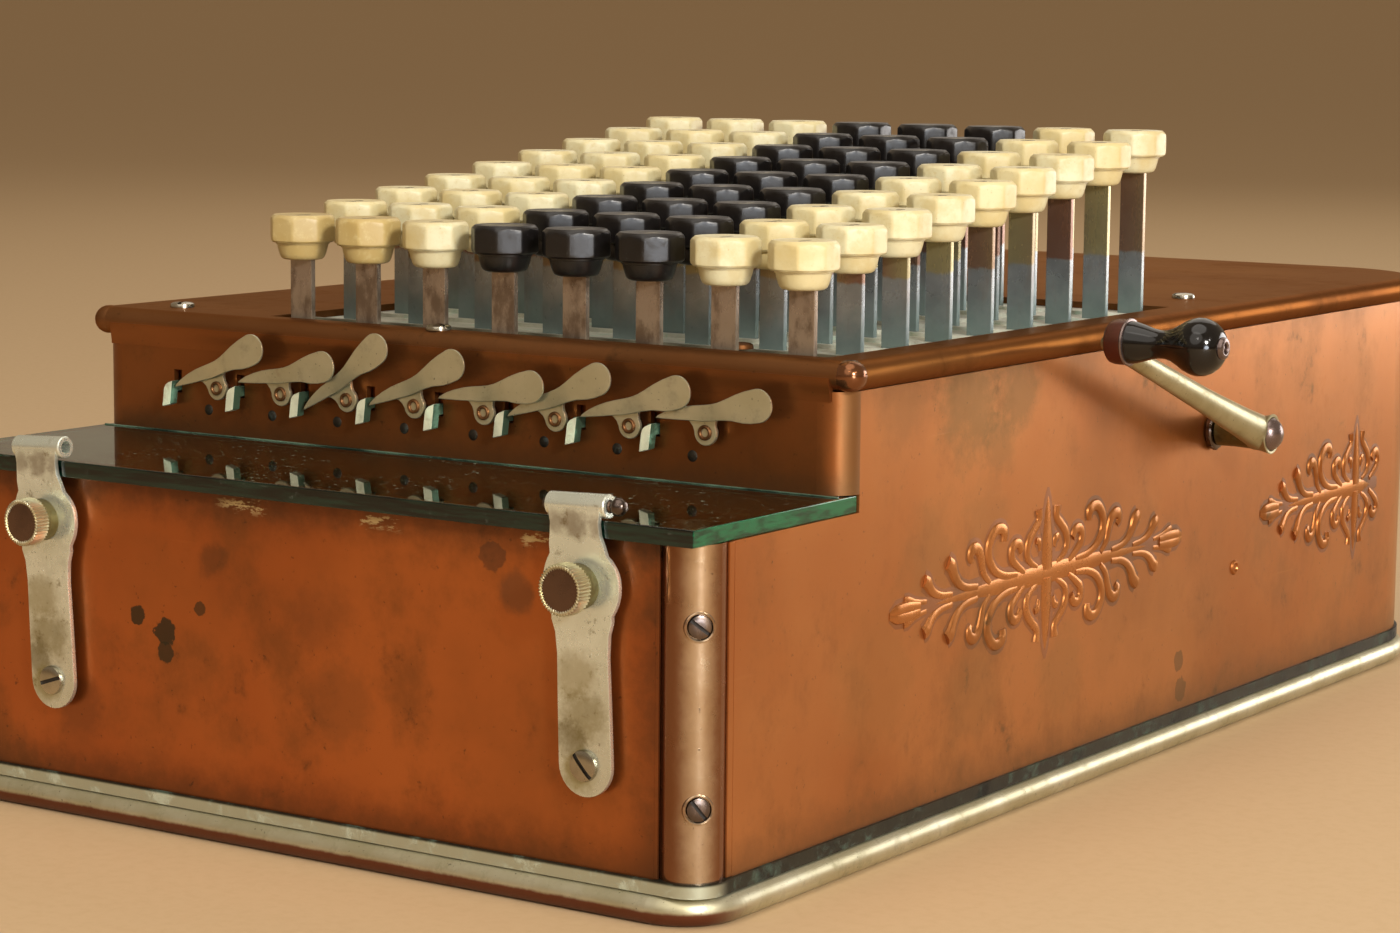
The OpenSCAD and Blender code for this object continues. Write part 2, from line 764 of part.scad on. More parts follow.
module crank_arm() {
    arm_turn = 180 - arm_angle;
    pin_len = handle_x + handle_len + seam_gap - arm_out_x;
    color(nickel) difference() {
        union() {
            rod_x(hub_in_x, hub_out_x - hub_in_x, hub_tube_r, crank_y, crank_z);
            along_x(arm_in_x, arm_out_x - arm_in_x) translate([crank_y, crank_z]) rotate(arm_turn) {
                circle(arm_hub_r);
                polygon([[0, -arm_hub_r], [arm_len, -arm_end_r], [arm_len, arm_end_r], [0, arm_hub_r]]);
                translate([arm_len, 0]) circle(arm_end_r);
            }
            translate([arm_out_x, crank_y, crank_z]) rotate([0, 90, 0])
                cylinder(h = hub_out_x - arm_out_x, r1 = hub_tube_r, r2 = arm_hub_r);
            rod_x(arm_out_x, pin_len, grip_pin_r, grip_y, grip_z);
            rod_x(arm_out_x + pin_len, 1, button_r, grip_y, grip_z);
        }
        rod_x(hub_in_x - 1, arm_in_x - hub_in_x + 1, crank_shaft_r + run_gap, crank_y, crank_z);
    }
    color(dark_copper) difference() {
        rod_x(arm_out_x + seat_gap, ferrule_len, ferrule_r, grip_y, grip_z);
        rod_x(arm_out_x - 1, ferrule_len + 2, grip_pin_r + run_gap, grip_y, grip_z);
    }
}

module crank_shaft() {
    flange_r = crank_shaft_r + 2.2;
    dome_r = arm_hub_r - 0.9;
    dome_sink = 1.2;
    color(steel) {
        rod_x(rack_x, arm_in_x - rack_x - 0.1, crank_shaft_r, crank_y, crank_z);
        along_x(rack_x, rack_t) translate([crank_y, crank_z]) gear(crank_teeth, crank_module, -90);
        rod_x(half_w + 0.3, hub_in_x - half_w - 0.4, flange_r, crank_y, crank_z);
        translate([hub_out_x, crank_y, crank_z]) rotate([0, 90, 0]) rotate_extrude() intersection() {
            translate([0, -dome_sink]) circle(dome_r);
            translate([0, seat_gap]) square(dome_r);
        }
    }
}

// Handle outline: a flare, a narrow neck and a bulb, blended by half waves
function blend(a, b, t) = a + (b - a) * (1 - cos(180 * t)) / 2;
function handle_r(t) =
    t < 0.3 ? blend(ferrule_r - 0.3, ferrule_r - 1.9, t / 0.3)
    : t < 0.68 ? blend(ferrule_r - 1.9, bulb_r, (t - 0.3) / 0.38)
    : bulb_r * sqrt(1 - pow((t - 0.68) / 0.36, 2));

module crank_handle() {
    steps = 20;
    color(ebonite) translate([handle_x, grip_y, grip_z]) rotate([0, 90, 0]) rotate_extrude() polygon(concat(
        [[grip_pin_r + run_gap, 0]],
        [for (i = [0:steps]) [handle_r(i / steps), i / steps * handle_len]],
        [[grip_pin_r + run_gap, handle_len]]
    ));
}

// A paddle and a tail on a bent neck, with a lug round its rivet. The tail lies behind the next paddle.
module cutoff_lever(number) {
    waist = 2;
    neck_w = 2.8;
    tail_w = 2.8;
    tail_y = paddle_y + lever_t + 0.5;
    root_x = neck_w / 2 + 0.4;
    neck_t = 2;
    rivet_head_t = 0.8;
    translate([lever_x(number), 0, rivet_z]) rotate([0, -lever_angles[number - 1], 0]) {
        color(nickel) difference() {
            union() {
                along_y(lug_y, lever_t) {
                    circle(lug_r);
                    translate([-neck_w / 2, 0]) square([neck_w, lever_line + 1]);
                }
                along_y(paddle_y, lug_y - paddle_y)
                    translate([-neck_w / 2, lever_line - neck_t / 2])
                        square([neck_w / 2 + root_x + 1, neck_t]);
                along_y(paddle_y, lever_t) translate([0, lever_line]) {
                    polygon([
                        [root_x, -waist], [lever_reach - 1, -paddle_r],
                        [lever_reach - 1, paddle_r], [root_x, waist]
                    ]);
                    translate([lever_reach, 0]) circle(paddle_r);
                }
                along_y(tail_y, lever_t) translate([0, lever_line]) polygon([
                    [-lever_tip, -0.3], [-lever_tip / 2, -tail_w / 2], [neck_w / 2, -waist],
                    [neck_w / 2, waist], [-lever_tip / 2, tail_w / 2], [-lever_tip, 0.3]
                ]);
            }
            rod_y(lug_y - 1, lever_t + 2, rivet_r + seat_gap, 0, 0);
        }
        color(copper) {
            rod_y(lug_y - seat_gap - rivet_head_t, rivet_head_t, rivet_head_r, 0, 0);
            rod_y(lug_y - seat_gap, panel_y + sheet_t + seam_gap - lug_y + seat_gap, rivet_r, 0, 0);
            rod_y(panel_y + sheet_t + seam_gap, rivet_head_t, rivet_head_r, 0, 0);
        }
    }
}

// A tab on a shank that goes through the panel's slot to a slide behind it
module carry_tab(number) {
    color(verdigris) translate([tab_x(number), 0, 0]) {
        translate([-tab_w / 2, tab_y, tab_z - tab_h / 2]) cube([tab_w, tab_t, tab_h]);
        translate([-shank_w / 2, tab_y, shank_z]) cube([shank_w, slide_y - tab_y, shank_h]);
        translate([-slide_w / 2, slide_y, shank_z - tab_h / 2]) cube([slide_w, slide_t, tab_h + shank_h]);
    }
}

// Orders three to five have black caps
function cap_color(order) = order >= 3 && order <= 5 ? ebonite : ivory;

// A flat bar between two heights, grown by a gap all round
module flat_stem(z0, z1, gap) {
    translate([-stem_w / 2 - gap, -stem_t / 2 - gap, z0]) cube([stem_w + 2 * gap, stem_t + 2 * gap, z1 - z0]);
}

// An octagonal cap on a round cup, with a socket for its flat stem
module key(order, row) {
    socket_z = cup_h / 2;
    translate([col_x(order), row_y(row), cup_z(row)]) {
        color(cap_color(order)) difference() {
            union() {
                cylinder(h = cup_h, d1 = cup_bottom_d, d2 = cup_top_d);
                translate([0, 0, cup_h]) rotate(22.5) cylinder(h = cap_h, d = cap_af / cos(22.5), $fn = 8);
            }
            flat_stem(-1, socket_z + seat_gap, seat_gap);
        }
        color(steel) flat_stem(stem_end_z - cup_z(row), socket_z, 0);
    }
}

module key_column(order) {
    for (row = [1:row_count]) key(order, row);
}

module units_key(row) {
    key(1, row);
}

base_moulding();
sill_frame();
front_panel();
left_side_panel();
right_side_panel();
rear_panel();
corner_posts();
lever_panel();
top_plate();
key_plate();
register_plate();
glass_plate();
glass_clips();
thumb_screw_left();
thumb_screw_right();
case_screws();
side_frames();
cross_rods();
stem_guide();
segment_levers();
units_segment();
lever_springs();
number_wheels();
units_wheel();
clearing_bar();
crank_arm();
crank_shaft();
crank_handle();
for (number = [1:lever_count]) {
    cutoff_lever(number);
    carry_tab(number);
}
for (row = [1:row_count]) {
    units_key(row);
}
key_column(2);  // keys_tens
key_column(3);  // keys_hundreds
key_column(4);  // keys_thousands
key_column(5);  // keys_ten_thousands
key_column(6);  // keys_hundred_thousands
key_column(7);  // keys_millions
key_column(8);  // keys_ten_millions
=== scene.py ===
import json
from math import atan2, cos, pi, radians, sin

import bmesh
import bpy
from mathutils import Matrix, Vector


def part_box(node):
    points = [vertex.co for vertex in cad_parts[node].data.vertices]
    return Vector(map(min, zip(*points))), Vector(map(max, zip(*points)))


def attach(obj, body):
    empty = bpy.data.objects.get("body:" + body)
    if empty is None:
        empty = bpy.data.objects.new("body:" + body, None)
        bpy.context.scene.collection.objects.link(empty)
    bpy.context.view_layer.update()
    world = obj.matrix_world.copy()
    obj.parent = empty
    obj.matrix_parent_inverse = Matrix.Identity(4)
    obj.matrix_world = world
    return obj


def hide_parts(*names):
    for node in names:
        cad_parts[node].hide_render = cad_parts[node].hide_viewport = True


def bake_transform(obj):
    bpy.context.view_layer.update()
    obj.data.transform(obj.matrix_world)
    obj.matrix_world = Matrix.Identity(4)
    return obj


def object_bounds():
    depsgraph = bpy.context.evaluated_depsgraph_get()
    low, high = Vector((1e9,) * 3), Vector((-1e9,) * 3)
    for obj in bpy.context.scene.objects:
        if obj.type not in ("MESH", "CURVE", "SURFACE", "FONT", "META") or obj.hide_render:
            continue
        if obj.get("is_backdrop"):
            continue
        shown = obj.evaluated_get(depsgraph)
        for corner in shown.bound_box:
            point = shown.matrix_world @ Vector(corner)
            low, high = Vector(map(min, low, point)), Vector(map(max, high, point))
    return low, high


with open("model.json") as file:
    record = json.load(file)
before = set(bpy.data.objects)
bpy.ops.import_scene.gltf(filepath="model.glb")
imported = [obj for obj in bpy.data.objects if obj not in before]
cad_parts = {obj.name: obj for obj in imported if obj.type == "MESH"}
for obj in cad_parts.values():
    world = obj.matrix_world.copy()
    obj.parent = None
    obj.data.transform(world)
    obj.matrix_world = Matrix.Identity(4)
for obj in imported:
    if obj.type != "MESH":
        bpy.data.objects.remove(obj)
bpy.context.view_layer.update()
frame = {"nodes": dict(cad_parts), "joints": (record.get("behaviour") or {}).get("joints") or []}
mm = 0.001
scene = bpy.context.scene
print("frame loaded,", len(frame["nodes"]), "nodes")

# camera, in millimetres, degrees and pixels of the 1400 x 933 picture
cameraView = {"place": (448.97, -705.71, 174.19), "azimuth": 33.785, "elevation": 7.593,
              "roll": 0.532, "focalPixels": 3327.6, "imageWide": 1400, "sensor": 36, "clip": (0.01, 50)}


def setCamera(spec):
    azimuth, elevation, roll = (radians(spec[k]) for k in ("azimuth", "elevation", "roll"))
    back = Vector((sin(azimuth) * cos(elevation), -cos(azimuth) * cos(elevation), sin(elevation)))
    level = Vector((cos(azimuth), sin(azimuth), 0))
    rise = back.cross(level)
    right = level * cos(roll) + rise * sin(roll)
    up = rise * cos(roll) - level * sin(roll)
    data = bpy.data.cameras.new("camera")
    data.sensor_fit = "HORIZONTAL"
    data.sensor_width = spec["sensor"]
    data.lens = spec["sensor"] * spec["focalPixels"] / spec["imageWide"]
    data.clip_start, data.clip_end = spec["clip"]
    camera = bpy.data.objects.new("camera", data)
    scene.collection.objects.link(camera)
    turn = Matrix((right, up, back)).transposed().to_4x4()
    camera.matrix_world = Matrix.Translation(Vector(spec["place"]) * mm) @ turn
    scene.camera = camera


setCamera(cameraView)


# finishes

def tint(red, green, blue):
    parts = (c / 255 for c in (red, green, blue))
    return tuple(((c + 0.055) / 1.055) ** 2.4 if c > 0.04 else c / 12.92 for c in parts) + (1.0,)


class Wire:
    def __init__(self, finish, socket):
        self.finish, self.socket = finish, socket

    def sum(self, operation, first, second=0.0):
        return self.finish.node("ShaderNodeMath", {"operation": operation}, {0: first, 1: second})

    def __add__(self, other): return self.sum("ADD", self, other)
    def __radd__(self, other): return self.sum("ADD", other, self)
    def __sub__(self, other): return self.sum("SUBTRACT", self, other)
    def __rsub__(self, other): return self.sum("SUBTRACT", other, self)
    def __mul__(self, other): return self.sum("MULTIPLY", self, other)
    def __rmul__(self, other): return self.sum("MULTIPLY", other, self)
    def __abs__(self): return self.sum("ABSOLUTE", self)


class Finish:
    def __init__(self, name, ground, fixed):
        self.material = bpy.data.materials.new(name)
        self.material.use_nodes = True
        self.tree = self.material.node_tree
        self.shader = self.tree.nodes["Principled BSDF"]
        for socket, value in fixed.items():
            self.shader.inputs[socket].default_value = value
        self.place = self.node("ShaderNodeTexCoord", out="Object")
        self.colour = tint(*ground)

    def node(self, kind, settings=None, sockets=None, out=0):
        made = self.tree.nodes.new(kind)
        for key, value in (settings or {}).items():
            setattr(made, key, value)
        for key, value in (sockets or {}).items():
            if isinstance(value, Wire):
                self.tree.links.new(value.socket, made.inputs[key])
            else:
                made.inputs[key].default_value = value
        return Wire(self, made.outputs[out])

    def feed(self, socket, wire):
        self.tree.links.new(wire.socket, self.shader.inputs[socket])

    def noise(self, scale, detail=4.0, rough=0.55, shift=0.0, stretch=(1, 1, 1)):
        spot = self.node("ShaderNodeMapping", {}, {"Vector": self.place, "Scale": stretch,
                                                   "Location": (shift, shift * 0.7, -shift)})
        return self.node("ShaderNodeTexNoise", {}, {"Vector": spot, "Scale": scale, "Detail": detail,
                                                    "Roughness": rough})

    def fade(self, value, low, high):
        return self.node("ShaderNodeMapRange", {"interpolation_type": "SMOOTHSTEP"},
                         {"Value": value, "From Min": low, "From Max": high})

    def patch(self, low, high, *grain):
        return self.fade(self.noise(*grain), low, high)

    def axis(self, index):
        return self.node("ShaderNodeSeparateXYZ", {}, {0: self.place}, out=index)

    def band(self, axis, bandStart, bandFull, ragged):
        line = self.axis(axis) + (ragged - 0.5) * abs(bandStart - bandFull) * mm
        return self.fade(line, bandStart * mm, bandFull * mm)

    def past(self, axis, bandStart, bandFull):
        return self.fade(self.axis(axis), bandStart * mm, bandFull * mm)

    def near(self, centre, inner, outer):
        far = self.node("ShaderNodeVectorMath", {"operation": "DISTANCE"},
                        {0: self.place, 1: tuple(c * mm for c in centre)}, out="Value")
        return self.fade(far, outer * mm, inner * mm)

    def mixed(self, share, first, second):
        return self.node("ShaderNodeMix", {"data_type": "RGBA"}, {0: share, 6: first, 7: second}, out=2)

    def paint(self, share, shade):
        self.colour = self.mixed(share, self.colour, tint(*shade))

    def done(self, rough, height=None, depth=0.0):
        self.feed("Base Color", self.colour)
        self.feed("Roughness", rough)
        if height is not None:
            self.feed("Normal", self.node("ShaderNodeBump", {}, {"Strength": 1.0, "Distance": depth * mm,
                                                                "Height": height}))
        return self.material


# old copper, lacquered once, darker brown towards its edges
copperLook = {"warm": (162, 94, 42), "pale": (176, 112, 58), "brown": (122, 74, 34), "soot": (54, 42, 26)}
frontFace, sideFace = -186, 102  # where the front and the right panel lie


def copperFinish(name, rough=0.3, browning=0.5, stains=(), grime=(), metal=0.85, flakes=None, coat=0.2,
                 waves=0.03, edge=(255, 255, 255), **shades):
    look = dict(copperLook, **shades)
    f = Finish(name, look["warm"], {"Metallic": metal, "Coat Weight": coat, "Coat Roughness": 0.16,
                                    "Specular Tint": tint(*edge)})
    smear = f.patch(0.47, 0.7, 42, 8, 0.66, 3.1, (1, 1, 0.8))
    mist = f.patch(0.44, 0.7, 10, 6, 0.6, 7.7)
    blotch = f.patch(0.56, 0.7, 130, 7, 0.7, 9.4)
    fleck = f.patch(0.67, 0.74, 650, 3, 0.6, 1.3)
    scratch = f.patch(0.7, 0.76, 210, 2, 0.5, 6.1, (0.12, 0.12, 1.6))
    f.paint(f.patch(0.34, 0.68, 15, 3, 0.5), look["pale"])
    f.paint(smear * (browning * 0.75), look["brown"])
    f.paint(mist * (browning * 0.7), look["brown"])
    f.paint(blotch * smear * browning, look["soot"])
    f.paint(fleck * 0.5, look["soot"])
    f.paint(scratch * 0.3, look["pale"])
    dull = smear * 0.1 + mist * 0.08 + blotch * 0.06
    ragged = f.noise(150, 6, 0.7, 5.2)
    # bands along an axis; the lever panel's paler ends are a painted highlight
    for axis, bandStart, bandFull, amount, shade in grime:
        band = f.band(axis, bandStart, bandFull, ragged) * amount
        f.paint(band, shade)
        dull = dull + band * 0.15
    crumbs = f.noise(340, 5, 0.65, 8.3)
    for centre, inner, outer, amount, shade in stains:
        mark = f.near(centre, inner, outer)
        if outer < 6:  # small spots are crisp
            mark = f.fade(mark + (crumbs - 0.5) * 1.6, 0.4, 0.55) * amount
        else:
            mark = f.fade(mark + (ragged - 0.5) * 1.7, 0.2, 0.95) * amount
        f.paint(mark, shade)
        dull = dull + mark * 0.15
    if flakes:  # pale scuffs along a level
        level, half, shade, spots = flakes
        band = f.past(2, level - half, level) * f.past(2, level + half, level)
        band = band * sum(f.near((x, frontFace, level), 3, reach) for x, reach in spots)
        scuff = f.fade(f.noise(260, 7, 0.75, 2.2, (0.5, 1, 1.6)) + band * 0.14, 0.6, 0.64) * band
        f.paint(scuff * 0.85, shade)
        dull = dull + scuff * 0.3
    return f.done(dull + rough, f.noise(300, 4, 0.6) * 0.5 + f.noise(60,
                                                                     2) * 1.6 + fleck * 0.4 + scratch * 0.3,
                  waves)


# nickel plate gone cream, worn through to copper in places
nickelLook = {"plate": (188, 178, 142), "clear": (200, 194, 166), "tarnish": (142, 124, 78),
              "copper": (150, 92, 48), "soot": (52, 48, 36), "frontBand": 14}


def nickelFinish(name, rough=0.3, tarnished=0.5, worn=0.25, metal=0.85, grime=(), front=None, post=None,
                 marks=(), **shades):
    look = dict(nickelLook, **shades)
    f = Finish(name, look["plate"], {"Metallic": metal})
    spots = f.patch(0.5, 0.74, 210, 6, 0.68, 2.4)
    bare = f.patch(0.6, 0.76, 120, 6, 0.7, 8.8)
    pits = f.patch(0.68, 0.76, 1300, 2, 0.5, 0.6)
    f.paint(f.patch(0.35, 0.68, 70, 4, 0.6), look["clear"])
    f.paint(spots * tarnished, look["tarnish"])
    f.paint(bare * worn, look["copper"])
    f.paint(pits * 0.55, look["soot"])
    dull = spots * 0.16 + bare * 0.1
    ragged = f.noise(260, 6, 0.7, 4.1)
    for axis, bandStart, bandFull, amount, shade in grime:
        band = f.band(axis, bandStart, bandFull, ragged) * amount
        if front:  # hands wear the front most
            band = band * f.past(1, front + look["frontBand"], front)
        f.paint(band, shade)
    for centre, inner, outer, amount, shade in marks:
        mark = f.fade(f.near(centre, inner, outer) + (ragged - 0.5) * 2.0, 0.15, 1.05) * amount
        f.paint(mark, shade)
        dull = dull + mark * 0.2
    if post:  # plate left along the outermost line, copper showing to either side: partly worn plate, partly painted shade on the post's sides
        x, y, reach = post
        across = abs((abs(f.axis(0)) - x * mm + (f.axis(1) - y * mm)) * 0.7071)
        edge = f.fade(across + (ragged - 0.5) * 0.002, 0.1 * reach * mm, 0.8 * reach * mm)
        f.paint(edge * 0.9, look["copper"])
    return f.done(dull + rough, f.noise(500, 4, 0.6) + pits * 0.5, 0.02)


# flat steel, a little brown; on the stems a painted reflection, bluish green at the foot
steelLook = {"rust": (136, 108, 78), "freckle": (80, 56, 38), "foot": (120, 146, 142), "footZ": 106.0,
             "footTall": 12,
             "frontRow": (-118, -122), "blot": (92, 74, 58)}


def steelFinish(name, rough, shade, rust, green=0.0, metal=1.0, paintedReflections=None):
    look = steelLook
    f = Finish(name, shade, {"Metallic": metal})
    streak = f.patch(0.5, 0.78, 260, 5, 0.65, 3.0, (1, 1, 0.25))
    freckle = f.patch(0.66, 0.78, 800, 3, 0.6, 6.0, (1, 1, 0.6))
    f.paint(f.patch(0.36, 0.7, 120, 4, 0.6), [c * 0.86 for c in shade])
    f.paint(streak * rust, look["rust"])
    f.paint(freckle * rust, look["freckle"])
    # painted reflection: bluish green at the foot, where the plate below would show in the steel
    low = f.fade(f.axis(2) + (f.noise(300, 5, 0.7) - 0.5) * 0.012, (look["footZ"] + look["footTall"]) * mm,
                 look["footZ"] * mm)
    f.paint(low * green, look["foot"])
    if paintedReflections:  # painted reflection: brown or olive above a line, browner in the front row; the front row blotched as well
        line, brown, olive, frontReflection = paintedReflections
        reflectedAbove = f.fade(f.axis(2) + (f.noise(400, 3, 0.6) - 0.5) * 0.002, line * mm, (line + 0.8) * mm)
        pick = f.patch(0.42, 0.58, 36, 1, 0.3, 5.0, (1, 1, 0))
        f.colour = f.mixed(reflectedAbove * 0.8, f.colour, f.mixed(pick, tint(*brown), tint(*olive)))
        frontRow = f.past(1, *look["frontRow"])
        f.paint(frontRow * 0.75, frontReflection)
        f.paint(frontRow * f.patch(0.44, 0.62, 170, 6, 0.7, 4.4, (1, 1, 0.45)) * 0.75, look["blot"])
    return f.done(streak * 0.1 + freckle * 0.2 + low * (green * 0.3) + rough,
                  f.noise(500, 3, 0.5, 0.0, (1, 1, 0.15)) + freckle, 0.006)


# verdigris on the plate under the keys and in the corners
rubbedLook = {"shade": (186, 188, 164), "deep": 6, "lip": (8.9, 8.3)}


def verdigrisFinish(name, base, bloom, dark, amount, rough, metal=0.75, front=None, shaded=None):
    f = Finish(name, base, {"Metallic": metal})
    crust = f.patch(0.5, 0.68, 170, 7, 0.7, 2.0)
    dirtAndShade = f.patch(0.55, 0.72, 95, 6, 0.68, 9.0)
    f.paint(f.patch(0.38, 0.64, 55, 6, 0.66) * 0.7, [c * 0.72 for c in base])
    f.paint(crust * amount, bloom)
    f.paint(dirtAndShade * 0.75, dark)
    if shaded:  # painted shade, darkest at the front under the first row of keys
        bandStart, bandFull, shade = shaded
        f.paint(f.past(1, bandStart, bandFull) * 0.85, shade)
    if front:  # rubbed bright at the front
        rubbed = f.past(1, front + rubbedLook["deep"], front) * f.past(2, *rubbedLook["lip"])
        f.paint(rubbed * 0.9, rubbedLook["shade"])
    f.feed("Metallic", metal - crust * (amount * 0.7))
    return f.done(crust * 0.35 + dirtAndShade * 0.2 + rough, crust * 0.8 + f.noise(600, 4) * 0.5, 0.09)


# key caps, turned from pale ivory stuff or black vulcanite
def capFinish(name, pale, deep, speck, rough, grain, coat, mottled, aged=None, frontBand=None):
    f = Finish(name, pale, {"Metallic": 0.0, "Coat Weight": coat, "Coat Roughness": 0.25})
    cloud = f.patch(0.36, 0.68, 120, 5, 0.6)
    mottle = f.patch(0.52, 0.72, 520, 5, 0.65, 4.0)
    dots = f.patch(0.66, 0.76, 1500, 3, 0.6, 2.0)
    f.paint(cloud, deep)
    if aged:  # some keys have yellowed more than others
        f.paint(f.patch(0.42, 0.66, 34, 1, 0.4, 2.7, (1, 1, 0.2)) * 0.55, aged)
    if frontBand:  # the front keys at the left are yellower and darker: yellowing with painted shade
        frontLines, leftLines, shade = frontBand
        f.paint(f.past(1, *frontLines) * f.past(0, *leftLines) * 0.8, shade)
    f.paint(mottle * mottled, deep)
    f.paint(dots * 0.6, speck)
    return f.done(mottle * 0.14 + cloud * 0.06 + rough, f.noise(800, 5, 0.65) + dots * 0.6, grain)


def plainFinish(name, shade, other, scale, rough):
    f = Finish(name, shade, {})
    cloud = f.patch(0.38, 0.68, scale, 5, 0.62)
    f.paint(cloud, other)
    return f.done(cloud * 0.1 + rough, f.noise(scale * 2.5, 3), 0.01)


def glassFinish(name, shade, rough, through, dark=None, dusty=0.0):
    f = Finish(name, shade, {"Metallic": 0.0, "IOR": 1.52, "Transmission Weight": through})
    dust = f.patch(0.62, 0.76, 420, 6, 0.7)
    scratch = f.patch(0.66, 0.74, 260, 3, 0.6, 5.0, (0.15, 1, 1))
    if dark:  # the cut edge is dark, with brighter streaks as painted glints
        f.colour = f.mixed(f.patch(0.4, 0.6, 150, 5, 0.65, 1.7, (0.3, 1, 4.0)), tint(*dark), f.colour)
    f.paint(dust * 0.25 + scratch * 0.2, (190, 200, 186))
    if dusty:  # specks lying on the pane
        speck = f.patch(0.62, 0.68, 520, 4, 0.7, 3.3) * f.patch(0.4, 0.65, 40, 3, 0.6)
        lint = f.node("ShaderNodeBsdfDiffuse", {}, {"Color": tint(150, 160, 138)})
        out = next(n for n in f.tree.nodes if n.type == "OUTPUT_MATERIAL")
        both = f.node("ShaderNodeMixShader", {}, {0: speck * dusty, 1: Wire(f, f.shader.outputs[0]), 2: lint})
        f.tree.links.new(both.socket, out.inputs["Surface"])
    return f.done(dust * 0.18 + scratch * 0.1 + rough)


# stains: along, up, inner and outer radius, amount, shade
darkBrown, olive, underRollDark = (58, 42, 26), (92, 76, 42), (112, 84, 48)
frontStains = [((x, frontFace, z), *mark) for x, z, *mark in (
    (-44, 46.5, 0.5, 3.6, 0.9, (56, 48, 30)), (-36, 44, 0.5, 5, 0.9, (54, 48, 32)),
    (-36, 39.5, 0.5, 4, 0.85, (58, 50, 32)), (-26, 50, 0.5, 2.6, 0.75, (62, 52, 32)),
    (-22, 61, 1, 7, 0.45, (70, 54, 34)), (58, 62, 2, 7, 0.5, (84, 66, 50)), (52, 69, 1, 5, 0.5, (70, 52, 40)),
    (12, 34, 2, 16, 0.28, (92, 66, 38)), (8, 52, 2, 14, 0.25, (88, 58, 34)), (-62, 24, 2, 12, 0.35,
                                                                              (76, 50, 30)))]
sideStains = [((sideFace, y, z), *mark) for y, z, *mark in (
    (-84, 93, 3, 22, 0.55, olive), (-62, 95, 2, 17, 0.5, olive), (-70, 84, 1, 12, 0.35, olive),
    (-100, 62, 2, 22, 0.22, olive), (-76, 67, 2, 18, 0.22, olive), (-80, 30, 2, 20, 0.25, (88, 70, 36)),
    (-38, 28, 2, 20, 0.22, olive), (-122, 40, 3, 30, 0.25, (128, 88, 42)), (24, 14, 1, 5, 0.6, (70, 54, 32)),
    (23, 21, 1, 4, 0.6, (66, 52, 32)), (-112, 98, 2, 20, 0.3, (100, 72, 40)))]
clipPlaces = (-68.6, 75.6)
clipMarks = [((x + aside, y, z), *mark) for x in clipPlaces for aside, y, z, *mark in (
    # darker under the roll, at the bend
    (0, -190, 78.2, 1, 5, 0.6, underRollDark), (-5, -190, 78, 0.5, 4, 0.5, underRollDark),
    (5, -190, 78, 0.5, 4, 0.5, underRollDark),
    (-1, -189, 48, 2, 8, 0.55, (150, 134, 78)), (1, -189, 40, 2, 9, 0.6, (132, 116, 58)),
    (-2, -189, 35, 2, 6, 0.6, (112, 96, 48)), (0, -189, 29, 2, 6.5, 0.6, (142, 130, 66)))]
finish = {}


def makeAll(kind, **rows):
    for name, values in rows.items():
        finish[name] = kind(name, **values) if isinstance(values, dict) else kind(name, *values)


# grime: axis, where it starts, where it is full, amount, shade; most bands darken, the lever panel's pale ends are
# a painted highlight
makeAll(
    copperFinish,
    frontCopper=dict(
        warm=(172, 91, 40), pale=(184, 103, 48), browning=0.8, stains=frontStains,
        flakes=(73.2, 2.6, (214, 190, 138), ((-13, 10), (22, 9), (64, 7))),
        # darker towards the top, the foot and the post
        grime=((2, 66, 76, 0.7, darkBrown), (2, 20, 8, 0.6, darkBrown), (0, 80, 95, 0.6, darkBrown))),
    sideCopper=dict(
        warm=(156, 90, 44), pale=(170, 108, 60), browning=0.8, stains=sideStains, coat=0.3, metal=0.68,
        # darker towards the foot and the top
        edge=(245, 225, 190), grime=((2, 20, 8, 0.5, darkBrown), (2, 94, 104, 0.35, (120, 72, 36)))),
    scrollCopper=dict(warm=(158, 92, 44), pale=(174, 112, 62), browning=0.9, rough=0.27, metal=0.68,
                      edge=(240, 212, 166)),
    # painted shade for the hollows round the scroll strokes
    scrollGrime=dict(warm=(126, 76, 38), pale=(142, 88, 46), brown=(92, 66, 34), rough=0.45, browning=0.9,
                     coat=0.0,
                     metal=0.6),
    panelCopper=dict(
        warm=(130, 76, 36), pale=(142, 86, 44), brown=(96, 60, 30), browning=0.7, rough=0.34, coat=0.0,
        # painted highlight: paler strips down both rounded ends; darker greenish brown towards the lower edge
        grime=((2, 86, 78, 0.5, (66, 56, 40)), (0, 99.4, 101.6, 0.6, (146, 112, 74)),
               (0, -99.4, -101.6, 0.6, (146, 112, 74)))),
    registerDark=dict(warm=(92, 80, 52), pale=(104, 90, 60), brown=(62, 56, 38), browning=0.8, rough=0.36),
    deckCopper=dict(warm=(120, 77, 44), pale=(132, 88, 54), brown=(92, 62, 36), browning=0.6, rough=0.36,
                    coat=0.0,
                    waves=0.01, edge=(206, 172, 134)),
    rivetCopper=dict(warm=(104, 70, 42), pale=(122, 88, 56), rough=0.42, browning=0.6, coat=0.0),
    thumbBrown=dict(warm=(96, 70, 54), pale=(114, 88, 72), brown=(66, 48, 38), rough=0.24, browning=0.8),
    ferruleCopper=dict(warm=(86, 48, 38), pale=(100, 58, 46), brown=(64, 36, 30), rough=0.36, browning=0.6))
